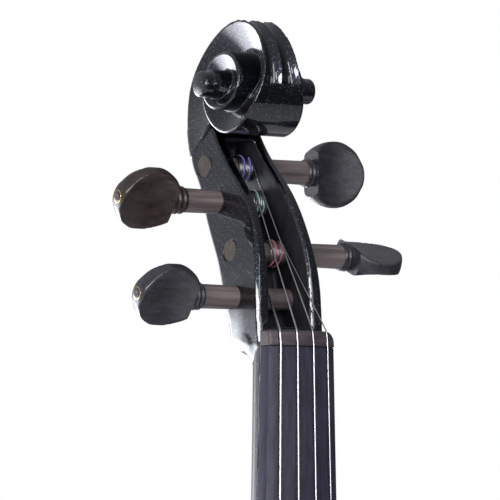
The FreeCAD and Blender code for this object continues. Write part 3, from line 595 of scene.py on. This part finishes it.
box_front = Curve([(-20, 0.0), (0, 0.2), (9, 1.0), (22, 2.0), (37, 3.5), (46, 5.6), (56, 9.3), (66, 14.5), (76, 21.8),
                   (85.5, 30.9), (95.5, 40.3), (103, 46.0), (110, 50.5)])
box_back = Curve([(-25, 33.0), (0, 32.6), (9, 32.3), (20, 32.6), (33, 35.0), (43, 38.9), (52.5, 44.5), (62, 49.8),
                  (79, 57.0), (87, 62.3), (96, 66.8), (106, 70.4), (116, 71.8)])
chin_under = Curve([(0, -6.6), (9, -5.6), (17, -4.4), (24, -3.0), (33, -1.0)])
box_half = Curve([(-30, 17.6), (-8, 18.2), (0, 18.4), (8, 18.55), (16, 18.65), (24, 18.55), (37, 17.7), (46, 16.7),
                  (56, 15.6), (66, 15.0), (76, 14.7), (85, 14.4), (95, 13.9), (110, 13.6)])
chin_tuck = Curve([(-30, 12.0), (-8, 3.9), (0, 2.25), (8, 1.0), (16, 0.22), (24, 0.0), (40, 0.0), (110, 0.0)])
box_flare = Curve([(0, 0.0), (24, 0.1), (46, 1.2), (71, 1.5), (88, 1.9), (104, 1.6)])
slot_half = Curve([(0, 11.7), (9, 11.6), (46, 10.8), (71, 9.4), (101, 8.2)])
slot_back = Curve([(0, 17.0), (10, 23.5), (16, 27.5), (24, 29.8), (34, 31.0), (46, 36.4), (56, 41.5), (70, 49.8),
                   (79, 55.0), (88, 60.2), (98, 62.5)])
turn_radius = Curve([(-45, 46.6), (-30, 43.2), (-14, 40.6), (0, 39.6), (28, 36.0), (66, 33.2), (90, 32.6), (118, 29.9),
                     (135, 27.7), (162, 25.2), (196, 23.8), (227, 23.3), (266, 22.9), (317, 20.6), (360, 19.4),
                     (405, 18.0), (450, 16.4), (500, 15.4), (540, 14.4), (588, 12.8), (630, 11.7), (700, 9.8),
                     (760, 8.4), (850, 6.8), (900, 6.2)])
turn_half = Curve([(-45, 15.6), (-14, 13.7), (0, 12.7), (45, 10.2), (90, 8.9), (118, 8.6), (135, 9.4), (162, 10.8),
                   (175, 11.9), (196, 14.2), (208, 15.4), (227, 16.5), (270, 17.4), (315, 18.3), (360, 18.4),
                   (450, 17.9), (540, 19.6), (630, 23.0), (720, 25.4), (800, 26.6), (900, 27.4)])
flute_depth = Curve([(-60, 1.9), (0, 2.2), (60, 2.6), (120, 2.9), (180, 3.0), (205, 2.9), (220, 2.3), (230, 0.9),
                     (237, 0.1), (245, 0.0), (300, 0.0)])
dish_depth = Curve([(-45, 0.0), (-20, 1.0), (0, 2.4), (45, 5.2), (90, 6.8), (150, 6.2), (200, 5.0), (250, 4.2),
                    (315, 4.0), (360, 3.6), (450, 3.4), (540, 3.0), (630, 2.2), (720, 1.3), (900, 0.6)])
neck_half = Curve([(-300, 24.6), (-200, 22.7), (-120, 20.9), (-40, 19.15), (0, 18.35)])
neck_depth = Curve([(-300, 24.0), (-200, 22.3), (-120, 20.0), (-40, 18.8), (0, 19.4)])
heel_top = Curve([(0, -160), (17, -184), (26, -199.5), (44, -216), (78, -228.5), (110, -233), (150, -236)])
heel_half = Curve([(0, 22.8), (30, 24.6), (80, 22.0), (147.5, 16.0)])

# Pegs: side (-1 bass, +1 treble), axis y and z, start of the collar, tip, opposite cheek, blade tilt in degrees.
PEGS = {"c": (-1, 22.2, 24.0, 38.0, 73.0, 18.7, -38.0),
        "g": (-1, 41.3, 70.9, 35.4, 72.0, 16.3, -38.0),
        "d": (1, 53.0, 88.6, 41.0, 75.0, 16.1, 0.0),
        "a": (1, 27.4, 46.3, 44.7, 78.8, 17.8, 66.0)}
PEG_RADIUS, PEG_END_RADIUS = 5.85, 5.2


def fluted(share, depth):
    """How deep the two hollows are cut, at a share of the half width from the middle ridge."""
    reach = np.clip(share / FLUTE_SHARE, 0, 1)
    return depth * (1 - (2 * reach - 1) ** 2)


def volute_field(x, y, z):
    """The scroll: each turn is a disc that grows narrower and wider apart as it winds in."""
    across, up = y - EYE_Y, z - EYE_Z
    reach = np.hypot(across, up)
    bearing = np.degrees(np.arctan2(up, across))
    solid = both(reach - EYE_RADIUS, x - EYE_REACH + reach ** 2 / 60, 1.1)
    for turn in (2, 1, 0):
        angle = bearing + 360 * turn
        known = np.clip(angle, -45, 900)
        radius, half = turn_radius(known), turn_half(known)
        inner = turn_radius(np.clip(angle + 360, -45, 900))
        place = np.clip((reach - inner) / np.maximum(radius - inner, 0.5), 0, 1)
        edge = reach - radius
        if turn == 0:
            edge = edge + fluted(x / half, flute_depth(known))
        side = x - half + dish_depth(known) * (1 - place) ** 0.9
        disc = chamfered(edge, side, 1.15)
        if turn == 0:
            disc = np.where(angle < -45, 20.0, disc)
        solid = either(solid, disc, 1.0)
    return solid


def pegbox_field(x, y, z):
    """The block under the scroll, from the chin to the throat, before it is hollowed."""
    front = (box_front(z) - y) * box_front.even(z)
    deep = np.clip((y - box_front(z)) / 22, 0, 1.6)
    tucked = np.clip((y - 12) / 14, 0, 1)
    half = box_half(z) + box_flare(z) * deep - chin_tuck(z) * tucked * tucked * (3 - 2 * tucked)
    fade = np.clip((z - 2) / 14, 0, 1)
    fade = fade * fade * (3 - 2 * fade)
    back = (y - box_back(z)) * box_back.even(z) + fluted(x / half, 1.9 * fade)
    under = (chin_under(y) - z) * chin_under.even(y)
    rear = both(back, under, 8.5)
    side = x - half
    shell = both(rear, side, 3.0 + 4.5 * np.clip((26 - z) / 14, 0, 1))
    shell = chamfered(shell, front, 0.9 + 0.6 * np.clip((58 - z) / 16, 0, 1))
    return both(shell, z - 108, 1.0)


def neck_field(x, y, z):
    """The rounded neck and the heel that meets the body."""
    half, depth = neck_half(z), neck_depth(z)
    around = np.hypot(x / half, np.maximum(y, 0) / depth)
    shaft = (around - 1) * np.minimum(half, depth)
    shaft = np.maximum(shaft, z - 1.5)
    heel = both((z - heel_top(y)) * heel_top.even(y), x - heel_half(y), 5.0)
    neck = either(shaft, heel, 9.0)
    height = NUT_FOOT[2] - y * math.sin(NECK_ANGLE) + z * math.cos(NECK_ANGLE)
    back = NUT_FOOT[1] + y * math.cos(NECK_ANGLE) + z * math.sin(NECK_ANGLE)
    neck = np.maximum(neck, 808.0 - height)
    return both(neck, back - 61.9, 1.0)


def slot_field(x, y, z):
    """The hollow between the cheeks."""
    back = (y - slot_back(z)) * slot_back.even(z)
    roof = both(back, z - 101.5, 4.0)
    return both(both(roof, x - slot_half(z), 2.0), 9.6 - z, 0.5)


def head_field(x, y, z):
    """The whole neck, scroll and pegbox, carved from one piece."""
    side = np.abs(x)
    solid = either(pegbox_field(side, y, z), volute_field(side, y, z), 1.2)
    fillet = np.clip((y - 4) / 8, 0, 1)
    solid = either(solid, neck_field(side, y, z), 0.4 + 4.6 * fillet * fillet * (3 - 2 * fillet))
    solid = both(solid, -y, 0.3)
    solid = chamfered(solid, -slot_field(side, y, z), 1.3)
    for hand, peg_y, peg_z, collar, _, cheek, _ in PEGS.values():
        along = (x * hand + cheek) / (collar + cheek)
        bore = np.hypot(y - peg_y, z - peg_z) - (PEG_END_RADIUS + (PEG_RADIUS - PEG_END_RADIUS) * along - 0.4)
        solid = np.maximum(solid, -bore)
    return solid


def spread(*stretches):
    """Grid places made of stretches, each (first, last, spacing)."""
    places = []
    for first, last, spacing in stretches:
        count = max(2, round((last - first) / spacing) + 1)
        places.append(np.linspace(first, last, count))
    return np.unique(np.concatenate(places).round(6))


def make_head():
    fine = 0.86
    xs = spread((-33.6, 33.6, fine))
    ys = spread((-2.0, 76.0, fine), (76.0, 144.0, 3.0))
    zs = spread((-292.0, -14.0, 3.0), (-14.0, 161.0, fine))
    points, faces, normals = skinned(head_field, xs, ys, zs)
    turned = turned_about_x(normals, -NECK_ANGLE)
    middle = points[faces].mean(1)
    inside = np.abs(slot_field(np.abs(middle[:, 0]), middle[:, 1], middle[:, 2])) < 0.5
    piece = mesh_piece("carved_neck_and_scroll", neck_to_cello(points), faces, [LACQUER, SATIN_BLACK], turned,
                       inside.astype(int).tolist())
    return finished(piece, "cello_body", "black_lacquer", "neck_and_scroll")


NUT_CORNER = 5.0
NUT_FALL, NUT_RISE = 0.9, 0.9


def nut_field(x, y, z):
    """The nut: a block under the board's arch, with its treble corner well rounded and a groove for each string."""
    centre = BOARD_SIDE + NUT_RISE - math.sqrt(BOARD_RADIUS ** 2 - (NUT_WIDTH / 2) ** 2)
    top = np.hypot(x, y + centre - NUT_FALL * z / NUT_LENGTH) - BOARD_RADIUS
    corner = np.where(x > 0, NUT_CORNER, 1.0)
    ends = np.abs(x) - NUT_WIDTH / 2
    block = both(both(ends, z - NUT_LENGTH, corner), top, 1.1)
    block = both(both(block, -z, 0.3), y, 0.3)
    for radius, nut_x, _, _ in STRINGS.values():
        height = board_top(nut_x, NUT_WIDTH, NUT_RISE) - NUT_FALL * z / NUT_LENGTH
        block = both(block, radius * 1.2 - np.hypot(x - nut_x, y + height), 0.15)
    return block


def make_nut():
    spacing = 0.42
    points, faces, normals = skinned(nut_field, spread((-20, 20, spacing)), spread((-14, 1, spacing)),
                                     spread((-1, 9, spacing)))
    turned = turned_about_x(normals, -NECK_ANGLE)
    piece = mesh_piece("grooved_nut", neck_to_cello(points), faces, [NUT_EBONY], turned)
    return finished(piece, "cello_body", "ebony_board", "nut")


# ---- pegs ----
KNOB_LENGTH = 29.0
KNOB_EDGE = 0.9
ROUND_ALL_OVER = 99.0
# The knob's outline from its shoulder, and half the blade's thickness between its two scoops.
knob_outline = Curve([(0, 11.4), (1.6, 12.6), (4, 14.0), (8, 15.6), (12.8, 16.25), (17, 15.7), (21, 13.8), (24.5, 10.9),
                      (27, 7.3), (28.4, 4.2), (28.9, 1.8)])
knob_blade = Curve([(0, 6.4), (2.5, 4.9), (6, 3.7), (11, 3.0), (17, 3.1), (23, 3.9), (29, 5.4)])


def collar_outline(place, length):
    """The turned rings between the shaft and the knob: distance from their start to radius."""
    ring = 0.55 * (1 - np.cos(2 * math.pi * np.clip(place, 0, length * 0.8) / (length * 0.4))) / 2
    return 6.1 + ring + 0.5 * np.clip(place / length, 0, 1)


def peg_stations(collar, tip, cheek):
    """Places along a peg from its thin end, with the turned radius and the half thickness at each."""
    shoulder = tip - KNOB_LENGTH
    rows = []
    for place in np.linspace(-cheek, collar, 40):
        share = (place + cheek) / (collar + cheek)
        rows.append((place, PEG_END_RADIUS + (PEG_RADIUS - PEG_END_RADIUS) * share, ROUND_ALL_OVER, "shaft"))
    for place in np.linspace(0.02, shoulder - collar, 36):
        rows.append((collar + place, float(collar_outline(place, shoulder - collar)), ROUND_ALL_OVER, "knob"))
    for place in np.linspace(0, 1, 90):
        along = KNOB_LENGTH * (1 - (1 - place) ** 1.6)
        rows.append((shoulder + along, float(knob_outline(min(along, 28.9))), float(knob_blade(along)), "knob"))
    return rows


def make_peg(name):
    """A peg: tapered shaft, turned collar and a knob with two scoops, on a grid round its axis."""
    hand, peg_y, peg_z, collar, tip, cheek, tilt = PEGS[name]
    rows = peg_stations(collar, tip, cheek)
    sides = 144
    turns = np.linspace(0, 2 * math.pi, sides, endpoint=False)
    lean = math.radians(tilt)
    points, faces, kinds = [], [], []
    for place, radius, blade, part in rows:
        reach = np.full(sides, radius)
        if blade < ROUND_ALL_OVER:
            flat = np.minimum(blade / np.maximum(np.abs(np.sin(turns)), 1e-6), 60)
            reach = -np.logaddexp(-radius / KNOB_EDGE, -flat / KNOB_EDGE) * KNOB_EDGE
        across, normal = reach * np.cos(turns), reach * np.sin(turns)
        # The blade's height lies along z and its normal along y, and then both lean by the tilt.
        y = normal * math.cos(lean) + across * math.sin(lean)
        z = across * math.cos(lean) - normal * math.sin(lean)
        points.append(np.stack([np.full(sides, hand * place), peg_y + y, peg_z + z], -1))
    count = len(rows)
    for row in range(count - 1):
        for side in range(sides):
            after = (side + 1) % sides
            above = (row + 1) * sides
            faces.append([row * sides + side, row * sides + after, above + after, above + side])
            kinds.append(0 if rows[row][3] == "shaft" else 1)
    stacked = np.concatenate(points)
    ends = [np.array([[-hand * cheek, peg_y, peg_z]]), np.array([[hand * tip, peg_y, peg_z]])]
    stacked = np.concatenate([stacked, *ends])
    first, last = count * sides, count * sides + 1
    for side in range(sides):
        after = (side + 1) % sides
        faces.append([first, after, side])
        kinds.append(2)
        faces.append([last, (count - 1) * sides + side, (count - 1) * sides + after])
        kinds.append(1)
    knob = BROWN_KNOB_WOOD if name == "g" else KNOB_WOOD
    piece = mesh_piece(f"tuning_peg_{name}", neck_to_cello(stacked), faces, [SHAFT_WOOD, knob, END_WOOD],
                       material_of=kinds)
    worker = bmesh.new()
    worker.from_mesh(piece.data)
    bmesh.ops.recalc_face_normals(worker, faces=worker.faces)
    worker.to_mesh(piece.data)
    worker.free()
    piece.data.set_sharp_from_angle(angle=math.radians(50))
    return finished(piece, f"peg_{name}_body", "peg_wood", f"peg_{name}")


# ---- strings and windings as geometry nodes ----
def node_tree(name, inputs):
    """An empty geometry node tree with named inputs."""
    mesh = "NodeSocketGeometry"
    return new_tree("GeometryNodeTree", name, [("Geometry", mesh, None), *inputs], [("Geometry", mesh)])


def closing(tree, geometry, material_socket, outside):
    """Ends a tree: smooth shading, real instances and the material."""
    smooth = tree.nodes.new("GeometryNodeSetShadeSmooth")
    real = tree.nodes.new("GeometryNodeRealizeInstances")
    paint = tree.nodes.new("GeometryNodeSetMaterial")
    tree.links.new(geometry, smooth.inputs["Geometry"])
    tree.links.new(smooth.outputs["Geometry"], real.inputs["Geometry"])
    tree.links.new(real.outputs["Geometry"], paint.inputs["Geometry"])
    tree.links.new(material_socket, paint.inputs["Material"])
    tree.links.new(paint.outputs["Geometry"], outside.inputs["Geometry"])


def round_cord_tree():
    """A round cord along the edges it is given."""
    tree, inside, outside = node_tree("round_cord", [("Radius", "NodeSocketFloat", 0.0005),
                                                     ("Material", "NodeSocketMaterial", None)])
    line = tree.nodes.new("GeometryNodeMeshToCurve")
    ring = tree.nodes.new("GeometryNodeCurvePrimitiveCircle")
    ring.inputs["Resolution"].default_value = 12
    body = tree.nodes.new("GeometryNodeCurveToMesh")
    body.inputs["Fill Caps"].default_value = True
    tree.links.new(inside.outputs["Geometry"], line.inputs["Mesh"])
    tree.links.new(inside.outputs["Radius"], ring.inputs["Radius"])
    tree.links.new(line.outputs["Curve"], body.inputs["Curve"])
    tree.links.new(ring.outputs["Curve"], body.inputs["Profile Curve"])
    closing(tree, body.outputs["Mesh"], inside.outputs["Material"], outside)
    return tree


def winding_tree():
    """Turns of thread wound side by side on a cylinder along its axis."""
    tree, inside, outside = node_tree("wound_turns", [("Turns", "NodeSocketFloat", 8.0),
                                                      ("Reach", "NodeSocketFloat", 0.006),
                                                      ("Width", "NodeSocketFloat", 0.006),
                                                      ("Thread", "NodeSocketFloat", 0.0005),
                                                      ("Material", "NodeSocketMaterial", None)])
    coil = tree.nodes.new("GeometryNodeCurveSpiral")
    coil.inputs["Resolution"].default_value = 40
    ring = tree.nodes.new("GeometryNodeCurvePrimitiveCircle")
    ring.inputs["Resolution"].default_value = 10
    body = tree.nodes.new("GeometryNodeCurveToMesh")
    body.inputs["Fill Caps"].default_value = True
    tree.links.new(inside.outputs["Turns"], coil.inputs["Rotations"])
    tree.links.new(inside.outputs["Reach"], coil.inputs["Start Radius"])
    tree.links.new(inside.outputs["Reach"], coil.inputs["End Radius"])
    tree.links.new(inside.outputs["Width"], coil.inputs["Height"])
    tree.links.new(inside.outputs["Thread"], ring.inputs["Radius"])
    tree.links.new(coil.outputs["Curve"], body.inputs["Curve"])
    tree.links.new(ring.outputs["Curve"], body.inputs["Profile Curve"])
    closing(tree, body.outputs["Mesh"], inside.outputs["Material"], outside)
    return tree


ROUND_CORD = round_cord_tree()
WOUND_TURNS = winding_tree()


def grown(name, tree, mesh, **values):
    """The plain mesh that a geometry node tree makes from a mesh and named inputs."""
    piece = bpy.data.objects.new(name, mesh)
    bpy.context.scene.collection.objects.link(piece)
    modifier = piece.modifiers.new("nodes", "NODES")
    modifier.node_group = tree
    for item in tree.interface.items_tree:
        if item.item_type == "SOCKET" and item.in_out == "INPUT" and item.name in values:
            modifier[item.identifier] = values[item.name]
    return baked(piece)


def line_mesh(name, points):
    mesh = bpy.data.meshes.new(name)
    mesh.from_pydata([tuple(point) for point in points], [(i, i + 1) for i in range(len(points) - 1)], [])
    return mesh


STRINGS = {"c": (0.62, -13.2, -24.0, -20.0), "g": (0.50, -4.5, -8.0, -6.7), "d": (0.42, 4.5, 8.0, 6.7),
           "a": (0.33, 13.2, 24.0, 20.0)}
WINDING_PLACE = {"c": -7.0, "g": 4.6, "d": 4.3, "a": 5.6}
WINDING_LANDING = {"c": 2.8, "g": -2.6, "d": 2.8, "a": 2.8}
WINDING_WIDTH = 8.0
WINDING_DEPTH = 1.9
STRING_CLEARANCE = 0.3
BRIDGE_Z, BRIDGE_TOP_Y, BRIDGE_TOP_RADIUS = 415.0, -175.0, 62.0
TAIL_END, TAIL_THICKNESS, LEVER_PIVOT_S = 250.0, 9.0, 234.0
SILKS = {"c": ((0.055, 0.035, 0.030), (0.12, 0.09, 0.08)), "g": ((0.05, 0.30, 0.26), (0.30, 0.55, 0.50)),
         "d": ((0.06, 0.07, 0.42), (0.20, 0.20, 0.60)), "a": ((0.42, 0.03, 0.09), (0.62, 0.20, 0.26))}


def board_top(x, width, rise=0.0):
    side = math.sqrt(BOARD_RADIUS ** 2 - (width / 2) ** 2)
    return BOARD_SIDE + math.sqrt(BOARD_RADIUS ** 2 - x ** 2) - side + rise


def landing(start, centre, radius):
    """Where a line from a point touches the front of a winding, in the neck's side view."""
    run_y, run_z = centre[0] - start[0], centre[1] - start[1]
    distance = math.hypot(run_y, run_z)
    turn = math.atan2(run_z, run_y) + math.asin(radius / distance)
    length = math.sqrt(distance ** 2 - radius ** 2)
    return start[0] + length * math.cos(turn), start[1] + length * math.sin(turn)


def string_points(name):
    """A string's route in metres: hook, tailpiece fret, bridge, nut and winding, eased over each bend."""
    radius, nut_x, bridge_x, tail_x = STRINGS[name]
    peg_y, peg_z = PEGS[name][1:3]
    nut_top = board_top(nut_x, NUT_WIDTH, NUT_RISE) + 0.35 * radius
    reach = PEG_RADIUS + WINDING_DEPTH * radius + radius + STRING_CLEARANCE
    leave = (-nut_top + NUT_FALL, NUT_LENGTH)
    land = landing(leave, (peg_y, peg_z), reach)
    drop = BRIDGE_TOP_RADIUS - math.sqrt(BRIDGE_TOP_RADIUS ** 2 - bridge_x ** 2)
    low = tail_to_cello([(tail_x, -TAIL_THICKNESS - 4.2, LEVER_PIVOT_S + 5.6),
                         (tail_x, -TAIL_THICKNESS - 3.2 - radius, TAIL_END - 4)])
    bridge = np.array([[bridge_x, BRIDGE_TOP_Y + drop - 0.35 * radius, BRIDGE_Z]]) * MM
    high = neck_to_cello([(nut_x, -nut_top, 0.6), (nut_x, *leave),
                          (WINDING_PLACE[name] + WINDING_LANDING[name], *land)])
    corners = np.concatenate([low, bridge, high])
    eased = [corners[0]]
    for before, corner, after in zip(corners, corners[1:], corners[2:]):
        cut = min(0.0022, 0.3 * np.linalg.norm(before - corner), 0.3 * np.linalg.norm(after - corner))
        start = corner + (before - corner) / np.linalg.norm(before - corner) * cut
        finish = corner + (after - corner) / np.linalg.norm(after - corner) * cut
        for share in np.linspace(0, 1, 6):
            eased.append((1 - share) ** 2 * start + 2 * share * (1 - share) * corner + share ** 2 * finish)
    eased.append(corners[-1])
    return eased


def make_string(name):
    piece = grown(f"string_line_{name}", ROUND_CORD, line_mesh(f"string_line_{name}", string_points(name)),
                  Radius=STRINGS[name][0] * MM, Material=STRING_METAL)
    return finished(piece, "cello_body", "string_steel", f"string_{name}")


def wound(piece_name, name, place, width, turns, reach, thread, material):
    """A coil round a peg, centred at a place along it."""
    peg_y, peg_z = PEGS[name][1:3]
    piece = grown(piece_name, WOUND_TURNS, bpy.data.meshes.new("turns"), Turns=turns, Reach=reach * MM,
                  Width=(width - 2 * thread) * MM, Thread=thread * MM, Material=material)
    # The coil is made round +Z; it is laid along x, moved to its peg, and leaned with the neck.
    lay = Matrix.Rotation(math.radians(90), 4, "Y")
    shift = Matrix.Translation(Vector((place - width / 2 + thread, peg_y, peg_z)) * MM)
    neck = Matrix.Translation(Vector(NUT_FOOT * MM)) @ Matrix.Rotation(-NECK_ANGLE, 4, "X")
    piece.data.transform(neck @ shift @ lay)
    return piece


def make_winding(name):
    """The string's metal turns on its peg, with the loose end of its silk crossing them."""
    thread = STRINGS[name][0]
    place = WINDING_PLACE[name]
    turns = WINDING_WIDTH / (2.05 * thread) - 1
    reach = PEG_RADIUS - 0.2 + thread
    # The wound turns take the darker copy of the string metal, painted shade for the pegbox.
    metal = wound(f"wound_metal_{name}", name, place, WINDING_WIDTH, turns, reach, thread, PEGBOX_SHADE_METAL)
    finished(metal, f"peg_{name}_body", "string_steel", f"peg_{name}_winding")
    colour, pale = SILKS[name]
    over = wound(f"wound_silk_{name}", name, place + 0.5, WINDING_WIDTH * 0.7, 1.4, reach + 0.9 * thread,
                 0.42, silk(f"silk_{name}", colour, pale))
    finished(over, f"peg_{name}_body", "string_silk")


# ---- camera, light and floor ----
VIEW_CENTRE = neck_to_cello([(-4.4, 30.0, 47.7)])[0]
TOWARDS_CAMERA = Vector((-0.5433, -0.8373, 0.0642)).normalized()
CAMERA_DISTANCE = 2.6
FRAME_WIDTH = 0.2381


def head_basis():
    """Right, up and back directions of the camera, with the head's own axis upright in the picture."""
    back = TOWARDS_CAMERA
    neck_up = Vector(turned_about_x([(-0.0285, -0.0439, 0.9986)], -NECK_ANGLE)[0])
    right = neck_up.cross(back).normalized()
    up = back.cross(right).normalized()
    return right, up, back


def make_camera():
    right, up, back = head_basis()
    data = bpy.data.cameras.new("camera")
    data.sensor_width = 36
    data.lens = data.sensor_width * CAMERA_DISTANCE / FRAME_WIDTH
    camera = bpy.data.objects.new("camera", data)
    place = Vector(VIEW_CENTRE) + back * CAMERA_DISTANCE
    camera.matrix_world = Matrix.Translation(place) @ Matrix((right, up, back)).transposed().to_4x4()
    bpy.context.scene.collection.objects.link(camera)
    bpy.context.scene.camera = camera


def seen_from_head(sideways, upward):
    """A direction from the head, in degrees to the camera's right and up."""
    right, up, back = head_basis()
    a, e = math.radians(sideways), math.radians(upward)
    return (back * math.cos(a) + right * math.sin(a)) * math.cos(e) + up * math.sin(e)


def softbox(name, sideways, upward, wide, high, brightness, distance=2.0, colour=(1, 1, 1)):
    """A soft lamp facing the head. Its place and size are angles in degrees, seen from the head."""
    direction = seen_from_head(sideways, upward)
    data = bpy.data.lights.new(name, "AREA")
    data.shape = "RECTANGLE"
    data.size = 2 * distance * math.tan(math.radians(wide / 2))
    data.size_y = 2 * distance * math.tan(math.radians(high / 2))
    data.energy = brightness * math.pi * data.size * data.size_y
    data.color = colour
    lamp = bpy.data.objects.new(name, data)
    lamp.location = Vector(VIEW_CENTRE) + direction * distance
    side = Vector((0, 0, 1)).cross(direction).normalized()
    above = direction.cross(side).normalized()
    lamp.rotation_euler = Matrix((side, above, direction)).transposed().to_euler()
    lamp.visible_camera = False
    bpy.context.scene.collection.objects.link(lamp)


# A sheet of white paper curved up behind the head on the left: its middles as seen from the head, in degrees.
PAPER_SWEEP = ((-119, -27), (-139, -28))
PAPER_BRIGHTNESS = 9.0


def make_world():
    """White behind the object, and in its reflections a room that is lighter on the left and above."""
    world = bpy.data.worlds.new("studio")
    world.use_nodes = True
    tree = world.node_tree
    surface = tree.nodes["Background"]
    right, up, back = head_basis()
    lighter = (back * 0.35 - right * 0.75 + up * 0.55).normalized()
    place = add_node(tree, "ShaderNodeTexCoord")
    facing = add_node(tree, "ShaderNodeVectorMath", operation="DOT_PRODUCT")
    facing.inputs[1].default_value = lighter
    tree.links.new(place.outputs["Generated"], facing.inputs[0])
    level = add_node(tree, "ShaderNodeMapRange")
    level.inputs["From Min"].default_value = -0.7
    level.inputs["From Max"].default_value = 0.7
    level.inputs["To Min"].default_value = 0.10
    level.inputs["To Max"].default_value = 0.62
    tree.links.new(facing.outputs["Value"], level.inputs["Value"])
    glow = level.outputs["Result"]
    for sideways, upward in PAPER_SWEEP:
        toward = add_node(tree, "ShaderNodeVectorMath", operation="DOT_PRODUCT")
        toward.inputs[1].default_value = seen_from_head(sideways, upward)
        tree.links.new(place.outputs["Generated"], toward.inputs[0])
        edge = add_node(tree, "ShaderNodeMapRange", interpolation_type="SMOOTHSTEP")
        edge.inputs["From Min"].default_value = math.cos(math.radians(32))
        edge.inputs["From Max"].default_value = math.cos(math.radians(13))
        edge.inputs["To Min"].default_value = 0.0
        edge.inputs["To Max"].default_value = PAPER_BRIGHTNESS
        tree.links.new(toward.outputs["Value"], edge.inputs["Value"])
        glow = compute(tree, "MAXIMUM", glow, edge.outputs["Result"])
    path = add_node(tree, "ShaderNodeLightPath")
    room = add_node(tree, "ShaderNodeBackground")
    room.inputs["Color"].default_value = (0.92, 0.94, 1.0, 1)
    tree.links.new(glow, room.inputs["Strength"])
    surface.inputs["Color"].default_value = (1, 1, 1, 1)
    surface.inputs["Strength"].default_value = 1.0
    mix = add_node(tree, "ShaderNodeMixShader")
    tree.links.new(path.outputs["Is Camera Ray"], mix.inputs["Fac"])
    tree.links.new(room.outputs["Background"], mix.inputs[1])
    tree.links.new(surface.outputs["Background"], mix.inputs[2])
    tree.links.new(mix.outputs["Shader"], tree.nodes["World Output"].inputs["Surface"])
    bpy.context.scene.world = world
    bpy.context.scene.view_settings.view_transform = "Standard"


def make_floor():
    """A pale floor just under the spike."""
    level = cad_box[0].z - 0.001
    reach = 1.6
    mesh = bpy.data.meshes.new("floor")
    mesh.from_pydata([(-reach, -reach, level), (reach, -reach, level), (reach, reach, level), (-reach, reach, level)],
                     [], [(0, 1, 2, 3)])
    floor = bpy.data.objects.new("floor", mesh)
    bpy.context.scene.collection.objects.link(floor)
    material, tree, shader, place = new_material("pale_floor", Roughness=0.7)
    noise = noise_mask(tree, place, 3)
    tree.links.new(blended(tree, noise, (0.86, 0.86, 0.86), (0.9, 0.9, 0.9)),
                   shader.inputs["Base Color"])
    mesh.materials.append(material)


make_camera()
make_world()
make_floor()
softbox("warm_floor", -40, -38, 50, 30, 0.9, colour=(1.0, 0.86, 0.76))
softbox("front_left_box", -29, 11, 26, 14, 21.0)
softbox("front_box", -2, 19, 9, 11, 9.0)
softbox("front_right_strip", 19, 18, 12, 40, 9.0)
softbox("right_box", 47, 9, 28, 12, 3.0)

make_head()
for peg_name in PEGS:
    make_peg(peg_name)
    make_string(peg_name)
    make_winding(peg_name)
    refined(f"peg_{peg_name}_ring", GOLD, "gold", 0.15)
    refined(f"peg_{peg_name}_dot", PEARL, "pearl", 0.2)
    refined(f"tuner_lever_{peg_name}", NICKEL, "bright_metal", 0.3)
    refined(f"tuner_screw_{peg_name}", NICKEL, "bright_metal", 0.15)
refined("fingerboard", EBONY, "ebony_board", 0.7)
make_nut()
refined("bridge", MAPLE, "bridge_maple", 0.4)
for node in ("top_plate", "back_plate"):
    refined(node, LACQUER, "black_lacquer", 1.0, 40)
for bout in ("lower", "middle", "upper"):
    for side in ("treble", "bass"):
        refined(f"{bout}_rib_{side}", LACQUER, "black_lacquer", 0)
# The corner blocks close the corners between the ribs, so they are lacquered with them.
refined("corner_blocks", LACQUER, "black_lacquer", 0)
for node in ("linings", "top_block", "bottom_block", "bass_bar", "sound_post"):
    refined(node, SPRUCE, "bare_wood", 0)
for node, material, slot, bevel in (("saddle", FITTINGS, "ebony_board", 0.5),
                                    ("tailpiece", FITTINGS, "black_fittings", 0.7),
                                    ("tailpiece_fret", FITTINGS, "ebony_board", 0.25),
                                    ("tail_cord", NYLON, "cord_nylon", 0),
                                    ("tuner_pins", NICKEL, "bright_metal", 0),
                                    ("endpin_socket", FITTINGS, "black_fittings", 0.6),
                                    ("endpin_ferrule", NICKEL, "bright_metal", 0.5),
                                    ("endpin_thumb_screw", NICKEL, "bright_metal", 0.3),
                                    ("endpin_rod", STEEL, "bright_metal", 0.3),
                                    ("endpin_spike", STEEL, "bright_metal", 0.1)):
    refined(node, material, slot, bevel)
